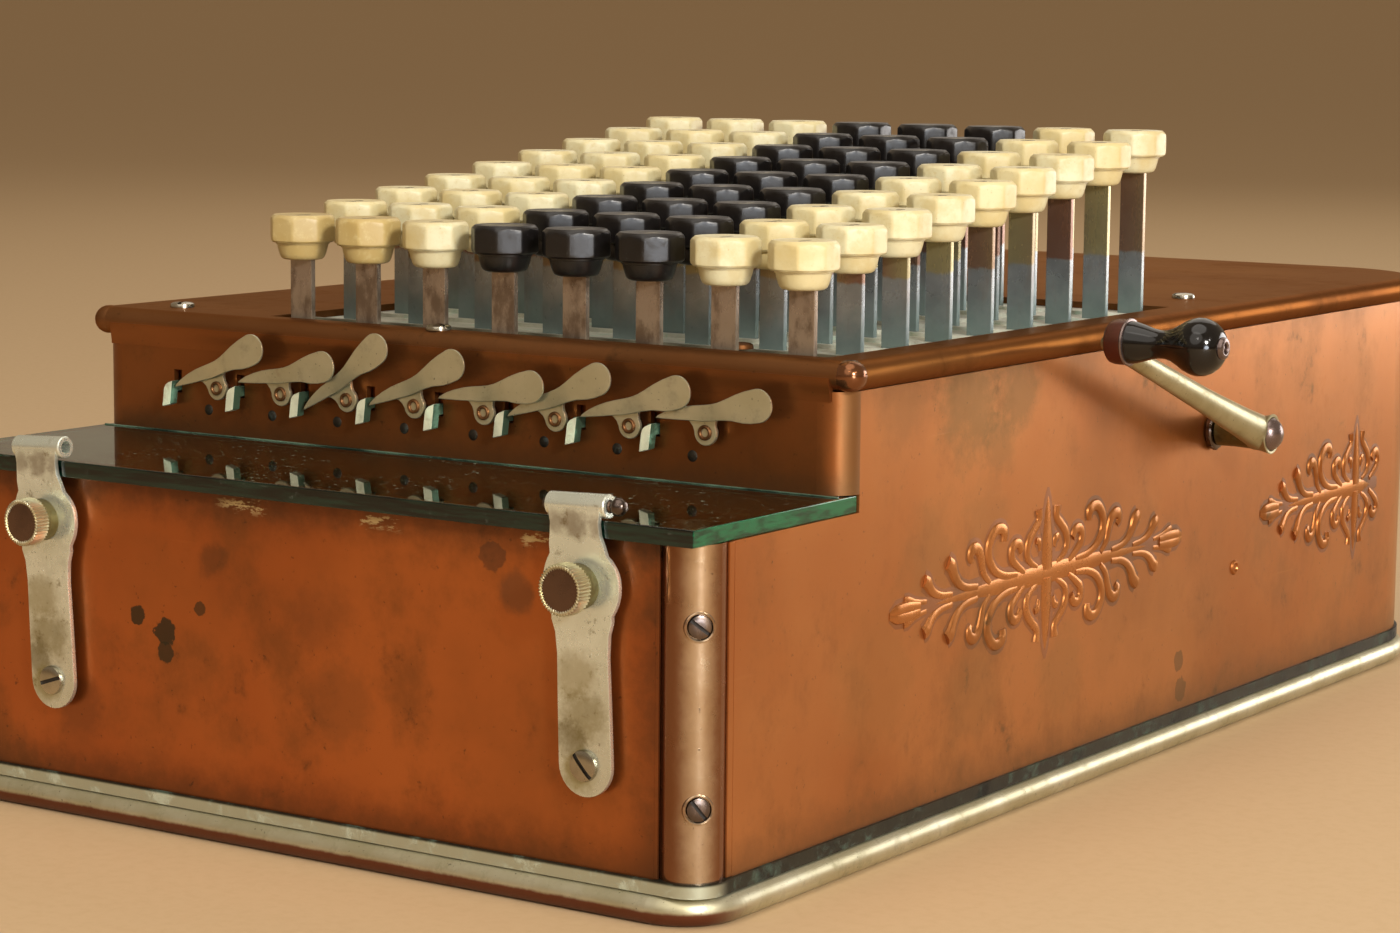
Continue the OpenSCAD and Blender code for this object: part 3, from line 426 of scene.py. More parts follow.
makeAll(
    nickelFinish,
    # post: the post's sides darkened, partly worn plate, partly painted shade
    postNickel=dict(plate=(178, 152, 122), clear=(192, 170, 144), copper=(116, 66, 32), rough=0.18,
                    tarnished=0.25,
                    worn=0.3, post=(95.9, -179.7, 6.2)),
    nickel=dict(worn=0.2),
    clipNickel=dict(plate=(214, 220, 206), clear=(228, 234, 222), copper=(158, 142, 100), rough=0.26,
                    metal=0.75,
                    tarnished=0.2, marks=clipMarks, grime=((2, 60, 36, 0.3, (156, 140, 98)),)),
    leverNickel=dict(plate=(194, 190, 160), clear=(206, 202, 174), tarnished=0.35, worn=0.3),
    armNickel=dict(plate=(160, 154, 120), clear=(174, 168, 136), rough=0.4, tarnished=0.3),
    baseNickel=dict(plate=(184, 178, 146), clear=(200, 196, 170), tarnish=(130, 122, 92), rough=0.4,
                    tarnished=0.4,
                    worn=0.2, grime=((2, 3.5, 2.7, 0.95, (104, 52, 32)),), front=-183.0))
makeAll(  # roughness, shade, rust
    steelFinish,
    # stemSteel's foot tint and its colours above z 120 are painted reflection
    stemSteel=(0.26, (156, 162, 166), 0.35, 0.6, 0.72, (120.0, (126, 78, 46), (168, 156, 104),
                                                        (162, 138, 112))),
    darkSteel=(0.24, (104, 92, 86), 0.4), domeSteel=(0.26, (124, 108, 104), 0.3, 0.0, 0.85),
    screwSteel=(0.24, (186, 180, 164), 0.3), innerSteel=(0.3, (132, 130, 126), 0.55))
makeAll(  # ground, bloom, dirt, amount, roughness, metal
    verdigrisFinish,
    # keyPlate ends with painted shade at the front
    keyPlate=((226, 228, 214), (160, 200, 182), (150, 148, 130), 0.55, 0.34, 0.2, None,
              (-108.0, -117.0, (92, 84, 60))),
    sillGreen=((52, 50, 38), (80, 100, 84), (30, 26, 20), 0.6, 0.5, 0.75, -183.0),
    pinBlue=((52, 46, 38), (56, 84, 84), (30, 24, 20), 0.5, 0.45),
    tabGreen=((70, 98, 78), (104, 146, 122), (34, 52, 46), 0.7, 0.45, 0.5),
    tabPale=((232, 234, 204), (196, 222, 190), (140, 146, 108), 0.5, 0.34, 0.3),
    oliveBrass=((118, 106, 64), (98, 100, 62), (60, 52, 32), 0.6, 0.4))
makeAll(  # pale, deep, specks, roughness, grain, coat, mottle, then where the keys are yellowed, the front left with painted shade
    capFinish,
    ivory=((214, 208, 172), (200, 184, 134), (156, 132, 86), 0.42, 0.06, 0.12, 0.7, (208, 188, 128),
           ((-117.2, -119.2), (2.0, -25.0), (174, 147, 84))),
    ebonite=((14, 12, 12), (20, 17, 17), (70, 70, 70), 0.3, 0.012, 0.0, 0.45))
makeAll(  # two shades, size of the clouds, roughness
    plainFinish,
    # slotDark: painted shade in the screw slots
    handleBlack=((9, 8, 8), (15, 13, 12), 200, 0.08), slotDark=((34, 27, 20), (46, 36, 26), 600, 0.6),
    inkBlack=((70, 58, 42), (92, 78, 56), 900, 0.5), inkPale=((150, 144, 130), (130, 124, 110), 900, 0.5),
    wheelWhite=((226, 220, 202), (208, 198, 170), 240, 0.45))
makeAll(  # shade, roughness, light let through, streaks of painted glints, dust
    glassFinish,
    glassTop=((186, 216, 200), 0.03, 1.0, None, 0.8), glassDark=((18, 50, 38), 0.05, 0.5, (3, 10, 8)),
    # glassLine: a painted highlight line
    glassGreen=((24, 112, 74), 0.1, 0.35, (14, 66, 46)), glassLine=((96, 122, 102), 0.2, 0.2, (30, 50, 40)))
print("finishes made,", len(finish))


# mesh helpers, all in millimetres until a piece is finished

def soften(bm, edges, size, segments=2):
    bmesh.ops.bevel(bm, geom=list(edges), offset=size, offset_type="OFFSET", segments=segments, profile=0.5,
                    affect="EDGES", material=-1, clamp_overlap=True)


def thicken(bm, height):
    made = bmesh.ops.extrude_face_region(bm, geom=bm.faces[:])
    moved = [v for v in made["geom"] if isinstance(v, bmesh.types.BMVert)]
    bmesh.ops.translate(bm, vec=(0, 0, height), verts=moved)
    bmesh.ops.holes_fill(bm, edges=[e for e in bm.edges if e.is_boundary])
    bmesh.ops.recalc_face_normals(bm, faces=bm.faces)


def cutAcross(bm, place, normal):
    bmesh.ops.bisect_plane(bm, geom=bm.verts[:] + bm.edges[:] + bm.faces[:], plane_co=place, plane_no=normal)


def rise(edge):
    return abs(edge.verts[0].co.z - edge.verts[1].co.z)


def turned(profile, steps=36):
    bm = bmesh.new()
    row = [bm.verts.new((radius, 0, height)) for radius, height in profile]
    edges = [bm.edges.new(pair) for pair in zip(row, row[1:])]
    bmesh.ops.spin(bm, geom=row + edges, cent=(0, 0, 0), axis=(0, 0, 1), angle=2 * pi, steps=steps,
                   use_merge=True)
    bmesh.ops.remove_doubles(bm, verts=bm.verts, dist=0.0005)
    bmesh.ops.recalc_face_normals(bm, faces=bm.faces)
    return bm


def arc(centre, radius, start, end, count):
    angles = [radians(start + (end - start) * i / (count - 1)) for i in range(count)]
    return [(centre[0] + radius * cos(a), centre[1] + radius * sin(a)) for a in angles]


def plate(outline, thick, edge=0.2, segments=2):
    bm = bmesh.new()
    bm.faces.new([bm.verts.new((x, y, 0)) for x, y in outline])
    thicken(bm, thick)
    if edge:
        soften(bm, [e for e in bm.edges if rise(e) < 1e-6], edge, segments)
    return bm


def block(low, high, edge=0.2, segments=2):
    bm = bmesh.new()
    bmesh.ops.create_cube(bm, size=1)
    bmesh.ops.scale(bm, vec=Vector(high) - Vector(low), verts=bm.verts)
    bmesh.ops.translate(bm, vec=(Vector(high) + Vector(low)) / 2, verts=bm.verts)
    if edge:
        soften(bm, bm.edges, edge, segments)
    return bm


def rod(points, rounds=8, steps=6):
    # points are x, y, z, radius; a smooth tapering rod through them
    curve = bpy.data.curves.new("rod", "CURVE")
    curve.dimensions = "3D"
    curve.bevel_depth, curve.bevel_resolution, curve.use_fill_caps = 1.0, max(rounds // 4 - 1, 0), True
    line = curve.splines.new("BEZIER")
    line.bezier_points.add(len(points) - 1)
    line.resolution_u = steps
    for knot, (x, y, z, radius) in zip(line.bezier_points, points):
        knot.co, knot.radius = (x, y, z), radius
        knot.handle_left_type = knot.handle_right_type = "AUTO"
    holder = bpy.data.objects.new("rod", curve)
    scene.collection.objects.link(holder)
    shape = holder.evaluated_get(bpy.context.evaluated_depsgraph_get()).to_mesh()
    bm = bmesh.new()
    bm.from_mesh(shape)
    bpy.data.objects.remove(holder)
    bpy.data.curves.remove(curve)
    bmesh.ops.remove_doubles(bm, verts=bm.verts, dist=0.0005)
    bmesh.ops.recalc_face_normals(bm, faces=bm.faces)
    return bm


def join(bm, part, move=None, look=None):
    if move is not None:
        bmesh.ops.transform(part, matrix=move, verts=part.verts)
    if look is not None:
        for face in part.faces:
            face.material_index = look
    shape = bpy.data.meshes.new("part")
    part.to_mesh(shape)
    part.free()
    bm.from_mesh(shape)
    bpy.data.meshes.remove(shape)


def addPiece(name, bm, looks, body, standsFor=(), sharp=32):
    bmesh.ops.scale(bm, vec=(mm, mm, mm), verts=bm.verts)
    shape = bpy.data.meshes.new(name)
    bm.to_mesh(shape)
    bm.free()
    for look in looks:
        shape.materials.append(finish[look])
    shape.shade_smooth()
    shape.set_sharp_from_angle(angle=radians(sharp))
    piece = bpy.data.objects.new(name, shape)
    scene.collection.objects.link(piece)
    flatFaces = piece.modifiers.new("flatFaces", "WEIGHTED_NORMAL")
    flatFaces.keep_sharp = True
    if body:
        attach(piece, body)
    if standsFor:
        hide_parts(*standsFor)
    return piece


def standIn(node, bm, looks, body=None):
    addPiece(node + "_dressed", bm, looks, body or node, [node])


def boxOf(node):
    low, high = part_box(node)
    return low / mm, high / mm


def pivotOf(name):
    return [c / mm for c in next(j for j in frame["joints"] if j["name"] == name)["pos_m"]]


def ease(share):
    share = min(max(share, 0), 1)
    return share * share * (3 - 2 * share)


def dress(look, *nodes):
    for node in nodes:
        slots = frame["nodes"][node].data.materials
        slots.clear()
        slots.append(finish[look])


def at(x, y, z):
    return Matrix.Translation((x, y, z))


toFront = Matrix.Rotation(pi / 2, 4, "X")  # up becomes forward, -Y
toRight = Matrix.Rotation(pi / 2, 4, "Y")  # up becomes +X

# plain numerals, for key tops and number wheels
numerals = {}


def numeral(text, size):
    if (text, size) not in numerals:
        words = bpy.data.curves.new("numeral", "FONT")
        words.body, words.size, words.extrude, words.resolution_u = text, size, 0.03, 2
        words.align_x, words.align_y = "CENTER", "CENTER"
        holder = bpy.data.objects.new("numeral", words)
        scene.collection.objects.link(holder)
        shape = bpy.data.meshes.new_from_object(holder.evaluated_get(bpy.context.evaluated_depsgraph_get()))
        bpy.data.objects.remove(holder)
        numerals[(text, size)] = shape
    bm = bmesh.new()
    bm.from_mesh(numerals[(text, size)])
    bmesh.ops.remove_doubles(bm, verts=bm.verts, dist=0.0005)
    return bm


# slotted screw heads, looks for the metal and the slot; the slot floor's dark finish is painted shade
def screwHead(radius, height, slot, turn, dome, looks):
    bm = turned([(0, height), (radius * 0.4, height * 0.98), (radius * 0.75, height * (1 - dome * 0.35)),
                 (radius * 0.95, height * (1 - dome)), (radius, height * 0.3), (radius, 0), (0, 0)], 28)
    half = radius * slot
    for side in (-half, half):
        cutAcross(bm, (side, 0, 0), (1, 0, 0))
    for face in bm.faces:
        face.material_index = looks[0]
    groove = [f for f in bm.faces if abs(f.calc_center_median().x) < half and f.normal.z > 0.35]
    made = bmesh.ops.extrude_face_region(bm, geom=groove)
    bmesh.ops.delete(bm, geom=groove, context="FACES_ONLY")
    for part in made["geom"]:
        if isinstance(part, bmesh.types.BMVert):
            part.co.z = height * 0.4
        elif isinstance(part, bmesh.types.BMFace):
            part.material_index = looks[1]
    bmesh.ops.rotate(bm, matrix=Matrix.Rotation(radians(turn), 3, "Z"), verts=bm.verts)
    return bm


# keys
keyLook = {"capTall": 6.2, "cupTall": 4.0, "cornerRound": 0.5, "topDrop": 1.15, "topFrom": 1.7,
           "lowDrop": 0.8,
           "lowFrom": 1.0, "rowCuts": (0.4, 1.0, 4.5, 5.2, 5.6, 5.9), "dish": 0.15, "rim": 0.8,
           "stemWide": 6.2, "stemThick": 1.5, "numeral": 6.4}
columns = ["units", "tens", "hundreds", "thousands", "ten_thousands", "hundred_thousands", "millions",
           "ten_millions"]
blackColumns = ("hundreds", "thousands", "ten_thousands")


def keyCap(flats, look):
    bm, corner = bmesh.new(), flats / 2 / cos(pi / 8)
    bmesh.ops.create_circle(bm, cap_ends=True, segments=8, radius=corner)
    bmesh.ops.rotate(bm, matrix=Matrix.Rotation(pi / 8, 3, "Z"), verts=bm.verts)
    thicken(bm, look["capTall"])
    soften(bm, [e for e in bm.edges if rise(e) > 1], look["cornerRound"])
    for cut in look["rowCuts"]:
        cutAcross(bm, (0, 0, cut), (0, 0, 1))
    across = [e for e in bm.edges if rise(e) < 1e-5 and e.calc_length() > 2]
    bmesh.ops.subdivide_edges(bm, edges=across, cuts=3, use_grid_fill=True)
    for v in bm.verts:  # chamfered as on a lathe, so each facet ends in an arc
        fromTop = max(1 - (look["capTall"] - v.co.z) / look["topFrom"], 0)
        fromLow = max(1 - v.co.z / look["lowFrom"], 0)
        limit = corner - look["topDrop"] * fromTop ** 2 - look["lowDrop"] * fromLow ** 2
        share = min(limit / v.co.xy.length, 1)
        v.co.x, v.co.y = v.co.x * share, v.co.y * share
    top = max(bm.faces, key=lambda f: f.calc_center_median().z + f.calc_area() * 0.001)
    bmesh.ops.inset_region(bm, faces=[top], thickness=look["rim"], depth=-look["dish"])
    return bm


def keyCup(look):
    tall = look["cupTall"]
    return turned([(0, 0), (3.7, 0), (4.4, 0.14), (4.9, 0.5), (5.25, 1.2), (5.6, 2.4), (5.85, tall - 0.5),
                   (6.1, tall - 0.42), (6.15, tall), (0, tall)], 24)


def addKey(bm, x, y, top, foot, flats, digit, look):
    base = top - look["capTall"]
    join(bm, keyCap(flats, look), at(x, y, base), 0)
    join(bm, keyCup(look), at(x, y, base - look["cupTall"]), 0)
    wide, thick = look["stemWide"] / 2, look["stemThick"] / 2
    join(bm, block((x - wide, y - thick, foot), (x + wide, y + thick, base - look["cupTall"] + 0.3), 0.18),
         None, 1)
    join(bm, numeral(str(digit), look["numeral"]), at(x, y, top - look["dish"]), 2)


keyNames = ["units_key_%d" % row for row in range(1, 10)]
keyRows = [boxOf(name) for name in keyNames]
for column in columns:
    black, units = column in blackColumns, column == "units"
    looks = ["ebonite", "stemSteel", "inkPale"] if black else ["ivory", "stemSteel", "inkBlack"]
    for name in keyNames if units else ["keys_" + column]:
        low, high = boxOf(name)
        bm = bmesh.new()
        for row, (keyLow, keyHigh) in enumerate(keyRows, 1):
            if not units or name == keyNames[row - 1]:
                addKey(bm, (low.x + high.x) / 2, (keyLow.y + keyHigh.y) / 2, keyHigh.z, keyLow.z,
                       high.x - low.x,
                       row, keyLook)
        standIn(name, bm, looks)
print("keys made")


# cut-off levers: thin spoons on a lug, standing clear of the panel
leverLook = {"paddleX": 15.3, "paddleZ": 3.4, "paddle": 3.55, "thick": 0.6, "front": -140.6, "line": 4.0,
             "tailBack": 1.0, "bend": (9.0,
                                       11.0), "yaw": 0.02, "panelY": -135.7, "rivetY": -137.3, "lug": 2.75,
             "lean": (26, 15, 38, 27, 13, 25, 19, 13)}


def leverOutline(look):
    top = [(-11.2, 4.95), (-10.5, 5.4), (-8.5, 5.9), (-6.2, 6.15), (-3.5, 6.2), (-1.0, 6.0), (1.5, 5.7),
           (3.5, 5.55),
           (5.4, 5.6), (7.6, 5.95), (10.2, 6.5), (12.8, 6.85)]
    low = [(13.0, 0.0), (11.0, 0.4), (8.4, 1.3), (5.6, 1.8), (3.0, 2.05), (0.2, 2.4), (-2.4, 3.0),
           (-5.0, 3.5),
           (-7.5, 4.05), (-9.5, 4.5)]
    return list(reversed(top + arc((look["paddleX"], look["paddleZ"]), look["paddle"], 88, -92, 15) + low))


def spoon(look):
    bm = plate(leverOutline(look), look["thick"], 0.2)
    for cut in range(-9, 11, 2):  # the tail steps back behind its neighbour's paddle
        cutAcross(bm, (cut, 0, 0), (1, 0, 0))
    for v in bm.verts:
        step = ease((look["bend"][0] - v.co.x) / look["bend"][1])
        v.co.z -= look["tailBack"] * step + look["yaw"] * (look["paddleX"] - v.co.x)
    return bm


def leverParts(look):
    line, rivet, front = look["line"], -look["rivetY"], -look["front"]
    lug = arc((0, 0), look["lug"], 165, 375, 17) + [(2.9, 1.6), (3.5, 2.7), (4.8, line - 0.2), (-4.6, line),
                                                    (-3.4, 2.9), (-2.8, 1.8)]
    eye = [(0.9, 0.2), (0.9, 1.3), (1.05, 1.5), (1.35, 1.55), (1.6, 1.35), (1.65, 1.0), (1.65, 0.2)]
    return ((spoon(look), front - look["thick"], 0), (plate(lug, 1.0, 0.2), rivet, 0),
            (block((-1.2, 2.6, rivet + 0.1), (2.6, 4.9, front - 1.45), 0.4), 0, 0),
            (turned([(0, 0), (1.9, 0), (1.9, 1.7), (0, 1.7)], 20), -look["panelY"], 2),
            (turned(eye, 24), rivet, 1), (turned([(0, 0.9), (0.8, 0.9)], 16), rivet, 2))


for number, lean in enumerate(leverLook["lean"], 1):
    name = "cutoff_lever_%d" % number
    x, _, z = pivotOf(name + "_tilt")
    bm = bmesh.new()
    for part, forward, metal in leverParts(leverLook):
        join(bm, part, at(0, 0, forward), metal)
    bmesh.ops.rotate(bm, matrix=Matrix.Rotation(radians(lean), 3, "Z"), verts=bm.verts)
    bmesh.ops.transform(bm, matrix=at(x, 0, z) @ toFront, verts=bm.verts)
    standIn(name, bm, ["leverNickel", "rivetCopper", "darkSteel"])

# carry tabs: bright blades with green sides and a slanted top, on a slide behind the panel
tabLook = {"half": 1.3, "narrow": 0.2, "deep": 2.4, "foot": 85.1, "head": 91.3, "middle": 88, "headDrop": 1.0,
           "footRise": 0.7, "round": 1.1, "edge": 0.22, "slant": 0.12, "slantFrom": 89, "neckHalf": 0.95,
           "neck": (88.7, 90.9), "slideThick": 1.0, "slideFoot": 1.2}
for number in range(1, 9):
    look, name = tabLook, "carry_tab_%d" % number
    low, high = boxOf(name)
    middle, back = (low.x + high.x) / 2, low.y + look["deep"]
    left, right = middle - look["half"], middle + look["half"] - look["narrow"]
    bm = block((left, low.y, look["foot"]), (right, back, look["head"]), 0)
    for v in bm.verts:
        share = (v.co.x - left) / (right - left)
        v.co.z += (share - 1) * look["headDrop"] if v.co.z > look["middle"] else share * look["footRise"]
    corner = [e for e in bm.edges if all(v.co.x < middle and v.co.z > look["middle"] for v in e.verts)]
    soften(bm, corner, look["round"], 4)
    soften(bm, [e for e in bm.edges if e.calc_face_angle(0) > 0.6], look["edge"], 2)
    for face in bm.faces:
        face.material_index = 1 if face.normal.x > 0.5 or face.normal.y > 0.6 else 0
    for v in bm.verts:
        v.co.x += (v.co.z - look["slantFrom"]) * look["slant"]
    foot, head = look["neck"]
    join(bm, block((middle - look["neckHalf"], back - 0.3, foot), (middle + look["neckHalf"], high.y, head),
                   0.1),
         None, 1)
    join(bm, block((low.x, high.y - look["slideThick"], low.z + look["slideFoot"]), high, 0.1), None, 2)
    standIn(name, bm, ["tabPale", "tabGreen", "panelCopper"])

# dark pins below the levers, and the fillet that closes the panel under its bead
pinLook = {"z": 84.8, "aside": -4.9, "radius": 1.15, "front": -135.6}
bm = bmesh.new()
for number in range(1, 9):
    pin = turned([(0, 0.35), (0.45, 0.32), (0.85, 0.22), (pinLook["radius"], 0.08),
                  (pinLook["radius"] + 0.1, 0)], 18)
    x = pivotOf("cutoff_lever_%d_tilt" % number)[0] + pinLook["aside"]
    join(bm, pin, at(x, pinLook["front"], pinLook["z"]) @ toFront, 0)
addPiece("panel_pins", bm, ["pinBlue"], "case")
coveLook = {"half": 99.0, "back": -134.6,
            "profile": ((98.4, -135.65), (99.4, -135.72), (100.4, -135.86), (101.4, -136.08),
                        (102.4, -136.25),
                        (103.4, -136.3))}
outline = [(-y, z) for z, y in coveLook["profile"]]
outline += [(-coveLook["back"], outline[end][1]) for end in (-1, 0)]
bm = plate(outline, coveLook["half"] * 2, 0)
turn = Matrix(((0, 0, 1, -coveLook["half"]), (-1, 0, 0, 0), (0, 1, 0, 0), (0, 0, 0, 1)))
bmesh.ops.transform(bm, matrix=turn, verts=bm.verts)
bmesh.ops.recalc_face_normals(bm, faces=bm.faces)
addPiece("bead_fillet", bm, ["panelCopper"], "case")
print("levers and tabs made")


# glass over the register, cut edges green, a painted highlight along the top bevels, and a painted bright line
# where it meets the panel
glassLook = {"edge": 0.35, "lineLow": (-101.4, -136.0, 78.95), "lineHigh": (101.4, -135.5, 79.3),
             "lineEdge": 0.12}
bm = block(*boxOf("glass_plate"), glassLook["edge"], 2)
for face in bm.faces:
    n = face.normal
    # the top bevels take glassLine, a painted highlight
    face.material_index = 0 if abs(n.z) > 0.9 else 3 if 0.4 < n.z else 2 if abs(n.x) > 0.6 else 1
standIn("glass_plate", bm, ["glassTop", "glassDark", "glassGreen", "glassLine"], "case")
# a painted bright line along the rear edge of the glass
bm = block(glassLook["lineLow"], glassLook["lineHigh"], glassLook["lineEdge"])
addPiece("glass_rear_highlight", bm, ["glassLine"], "case")

# spring clips over the glass edge, with knurled thumb screws
clipLook = {"front": -190.8, "thick": 1.2, "footZ": 30.2, "footHalf": 6.35, "bossZ": 65.7, "boss": 9.2,
            "neckHalf": 5.8, "rollZ": 81.5, "rollY": -188.4, "roll": 2.4, "rollHalf": 7.1, "panel": -186.2,
            "lean": (3.0, 2.0), "spring": 1.7, "bendZ": 77.0, "bendTall": 9.0}
clipPin = [(0, -8.6), (1.0, -8.5), (1.2, -8.2), (1.2, 7.2), (1.0, 7.5), (0.8, 7.7), (1.3, 7.9), (1.75, 8.5),
           (1.85, 9.2), (1.6, 10.0), (1.0, 10.6), (0, 10.8)]


def clipOutline(look):
    half, bossZ, neck = look["footHalf"], look["bossZ"], look["neckHalf"]
    right = arc((0, look["footZ"]), half, -90, 0, 9)
    right += [(half - 0.1, 42), (half - 0.25, 52), (half + 0.1, bossZ - 9.4), (half + 0.9, bossZ - 7.0)]
    right += arc((0, bossZ), look["boss"], -38, 42, 11)
    right += [(neck + 0.75, bossZ + 8.2), (neck + 0.2, bossZ + 10.2), (neck, bossZ + 12.4),
              (neck + 0.3, look["rollZ"] - 1.4), (neck + 0.5, look["rollZ"] - 0.2)]
    return right + [(-x, z) for x, z in reversed(right[1:])]


def rollProfile(outer, half):
    inner, edge = outer - 1.05, outer - 0.2
    return [(inner, -half), (edge, -half), (outer, -half + 0.25), (outer, half - 0.25), (edge, half),
            (inner, half),
            (inner, -half)]


bm = bmesh.new()
for index, x in enumerate(clipPlaces):
    look = clipLook
    lean = Matrix.Rotation(radians(-look["lean"][index]), 4, "Y")
    pivot = at(x, 0, look["bossZ"]) @ lean @ at(0, 0, -look["bossZ"])
    onRoll = pivot @ at(0, look["rollY"], look["rollZ"]) @ toRight
    join(bm, plate(clipOutline(look), look["thick"], 0.25),
         pivot @ at(0, look["front"] + look["thick"], 0) @ toFront, 0)
    join(bm, turned(rollProfile(look["roll"], look["rollHalf"]), 28), onRoll, 0)
    for z, radius in ((look["footZ"], 3.0), (look["bossZ"], 3.4)):
        spacer = turned([(0, 0), (radius, 0), (radius, 3.4), (0, 3.4)], 20)
        join(bm, spacer, pivot @ at(0, look["panel"] + 0.1, z) @ toFront, 2)
    head = screwHead(3.2, 1.2, 0.13, 40 if index else 105, 0.3, (1, 4))
    join(bm, head, pivot @ at(0, look["front"], look["footZ"]) @ toFront)
    if index:  # the right clip keeps its pin, with a round end
        join(bm, turned(clipPin, 20), onRoll, 3)
for v in bm.verts:  # sprung in towards the panel below the glass
    share = ease((clipLook["bendZ"] - v.co.z) / clipLook["bendTall"])
    v.co.y = min(v.co.y + clipLook["spring"] * share, clipLook["panel"] + 0.2)
standIn("glass_clips", bm, ["clipNickel", "screwSteel", "oliveBrass", "darkSteel", "slotDark"],
        "case")

thumbLook = {"ridges": 44, "ridgeDeep": 0.07, "tall": 3.2, "seat": 3.6, "edge": (0.3, 0.35), "rim": 0.3,
             "sink": 0.3}
for name in ("thumb_screw_left", "thumb_screw_right"):
    look = thumbLook
    low, high = boxOf(name)
    x, z, radius = (low.x + high.x) / 2, (low.z + high.z) / 2, (high.x - low.x) / 2
    bm, head = bmesh.new(), bmesh.new()
    ring = bmesh.ops.create_circle(head, cap_ends=True, segments=look["ridges"] * 2, radius=radius)["verts"]
    for index, v in enumerate(ring):
        v.co *= 1 - look["ridgeDeep"] * (index % 2)
    thicken(head, look["tall"])
    front = max(head.faces, key=lambda f: f.calc_center_median().z)
    for width, depth in (look["edge"], (look["rim"], 0), (0.2, -look["sink"])):
        bmesh.ops.inset_region(head, faces=[front], thickness=width, depth=depth)
    front.material_index = 1
    bmesh.ops.inset_region(head, faces=[front], thickness=radius * 0.62, depth=0.12)
    join(bm, head, at(x, low.y + look["seat"], z) @ toFront)
    collar = turned([(0, 0), (4.3, 0), (4.6, 0.25), (4.6, 2.6), (4.1, 3.0), (3.7, 3.4), (0, 3.4)], 24)
    join(bm, collar, at(x, clipLook["front"] + clipLook["spring"] + 0.1, z) @ toFront, 2)
    standIn(name, bm, ["nickel", "thumbBrown", "oliveBrass"])
print("glass and clips made")


# slotted screws on the posts, each in the turned-up edge of its hole, and on the deck
screwLook = {"postX": 95.9, "postY": -179.7, "seat": 5.6, "postZ": (23.7, 59.5), "radius": 2.4, "tall": 1.2,
             "deck": ((-86.8, -124.5, 106.8), (-4.58, -131.7, 106.8), (65.7, -118.05, 106.0),
                      (85.5, 55.2, 106.8),
                      (-86.8, 55.2, 106.8))}
bm = bmesh.new()
look = screwLook
for side in (-1, 1):
    for z, turn in zip(look["postZ"], (38, 52)):
        x = side * look["postX"] + side * look["seat"] * sin(pi / 4)
        place = at(x, look["postY"] - look["seat"] * cos(pi / 4), z)
        place = place @ (Matrix.Rotation(radians(45) * side, 4, "Z") @ toFront)
        join(bm, screwHead(look["radius"], look["tall"], 0.15, turn, 0.2, (2, 4)), place)
        join(bm, turned([(2.5, 0.2), (2.6, 0.95), (2.85, 1.12), (3.1, 1.0), (3.2, 0)], 28), place, 3)
for index, place in enumerate(look["deck"]):
    join(bm, screwHead(2.9, 1.3, 0.15, 25 + 40 * index, 0.35, (1 if index == 2 else 0, 4)), at(*place))
standIn("case_screws", bm, ["screwSteel", "rivetCopper", "darkSteel", "postNickel", "slotDark"],
        "case")


# folded edges of the panels, closing the joints beside the front posts
seamLook = {"foot": 9.0, "head": 75.3, "front": ((88.0, -186.15), (92.2, -185.35)),
            "side": ((101.7, -176.9), (102.35, -172.0))}
bm = bmesh.new()
for side in (-1, 1):
    for metal, ((x0, y0), (x1, y1)) in enumerate((seamLook["front"], seamLook["side"])):
        left, right = sorted((side * x0, side * x1))
        join(bm, block((left, y0, seamLook["foot"]), (right, y1, seamLook["head"]), 0.2), None, metal)
addPiece("post_seams", bm, ["frontCopper", "sideCopper"], "case")


# crank: flared arm on a hub, black turned handle; profiles are radius, height
crankLook = {"length": 88.3, "armMid": 114.7, "flat": 0.78, "flare": (1.1, 0.2), "handleStart": 121.2,
             "dome": 117.5,
             "dullTo": 112, "notches": 10}
look, long = crankLook, crankLook["length"]
hubY, hubZ = pivotOf("crank_turn")[1:]
gripY, gripZ = pivotOf("handle_spin")[1:]
knots = ((0.4, 0.8), (1.2, 1.9), (3.0, 2.2), (8, 2.3), (long * 0.3, 2.5), (long * 0.6, 3.0),
         (long * 0.86, 3.7),
         (long, 4.3), (long + 2.4, 3.6))
hub = turned([(3.4, 104.5), (3.8, 104.7), (3.7, 109), (3.9, 113), (4.3, 116), (4.75, 117.9), (4.9, 118.35),
              (4.7, 118.5), (4.2, 118.45), (3.95, 117.9), (0, 117.7)], 40)
arm = rod([(0, 0, height, radius) for height, radius in knots], 24, 8)
bmesh.ops.scale(arm, vec=(look["flat"], 1, 1), verts=arm.verts)
for v in arm.verts:  # flares out towards the hub's rim
    share = min(max(v.co.z / long - 0.6, 0) / 0.4, 1)
    v.co.x += share * share * look["flare"][0 if v.co.x > 0 else 1]
lean = Matrix.Rotation(-atan2(hubY - gripY, hubZ - gripZ), 4, "X")
bm = bmesh.new()
join(bm, arm, at(look["armMid"], gripY, gripZ) @ lean, 0)
for face in hub.faces:  # the inner end is dull and olive
    face.material_index = 1 if face.calc_center_median().z < look["dullTo"] else 0
join(bm, hub, at(0, hubY, hubZ) @ toRight)
standIn("crank_arm", bm, ["armNickel", "oliveBrass"], "crank")

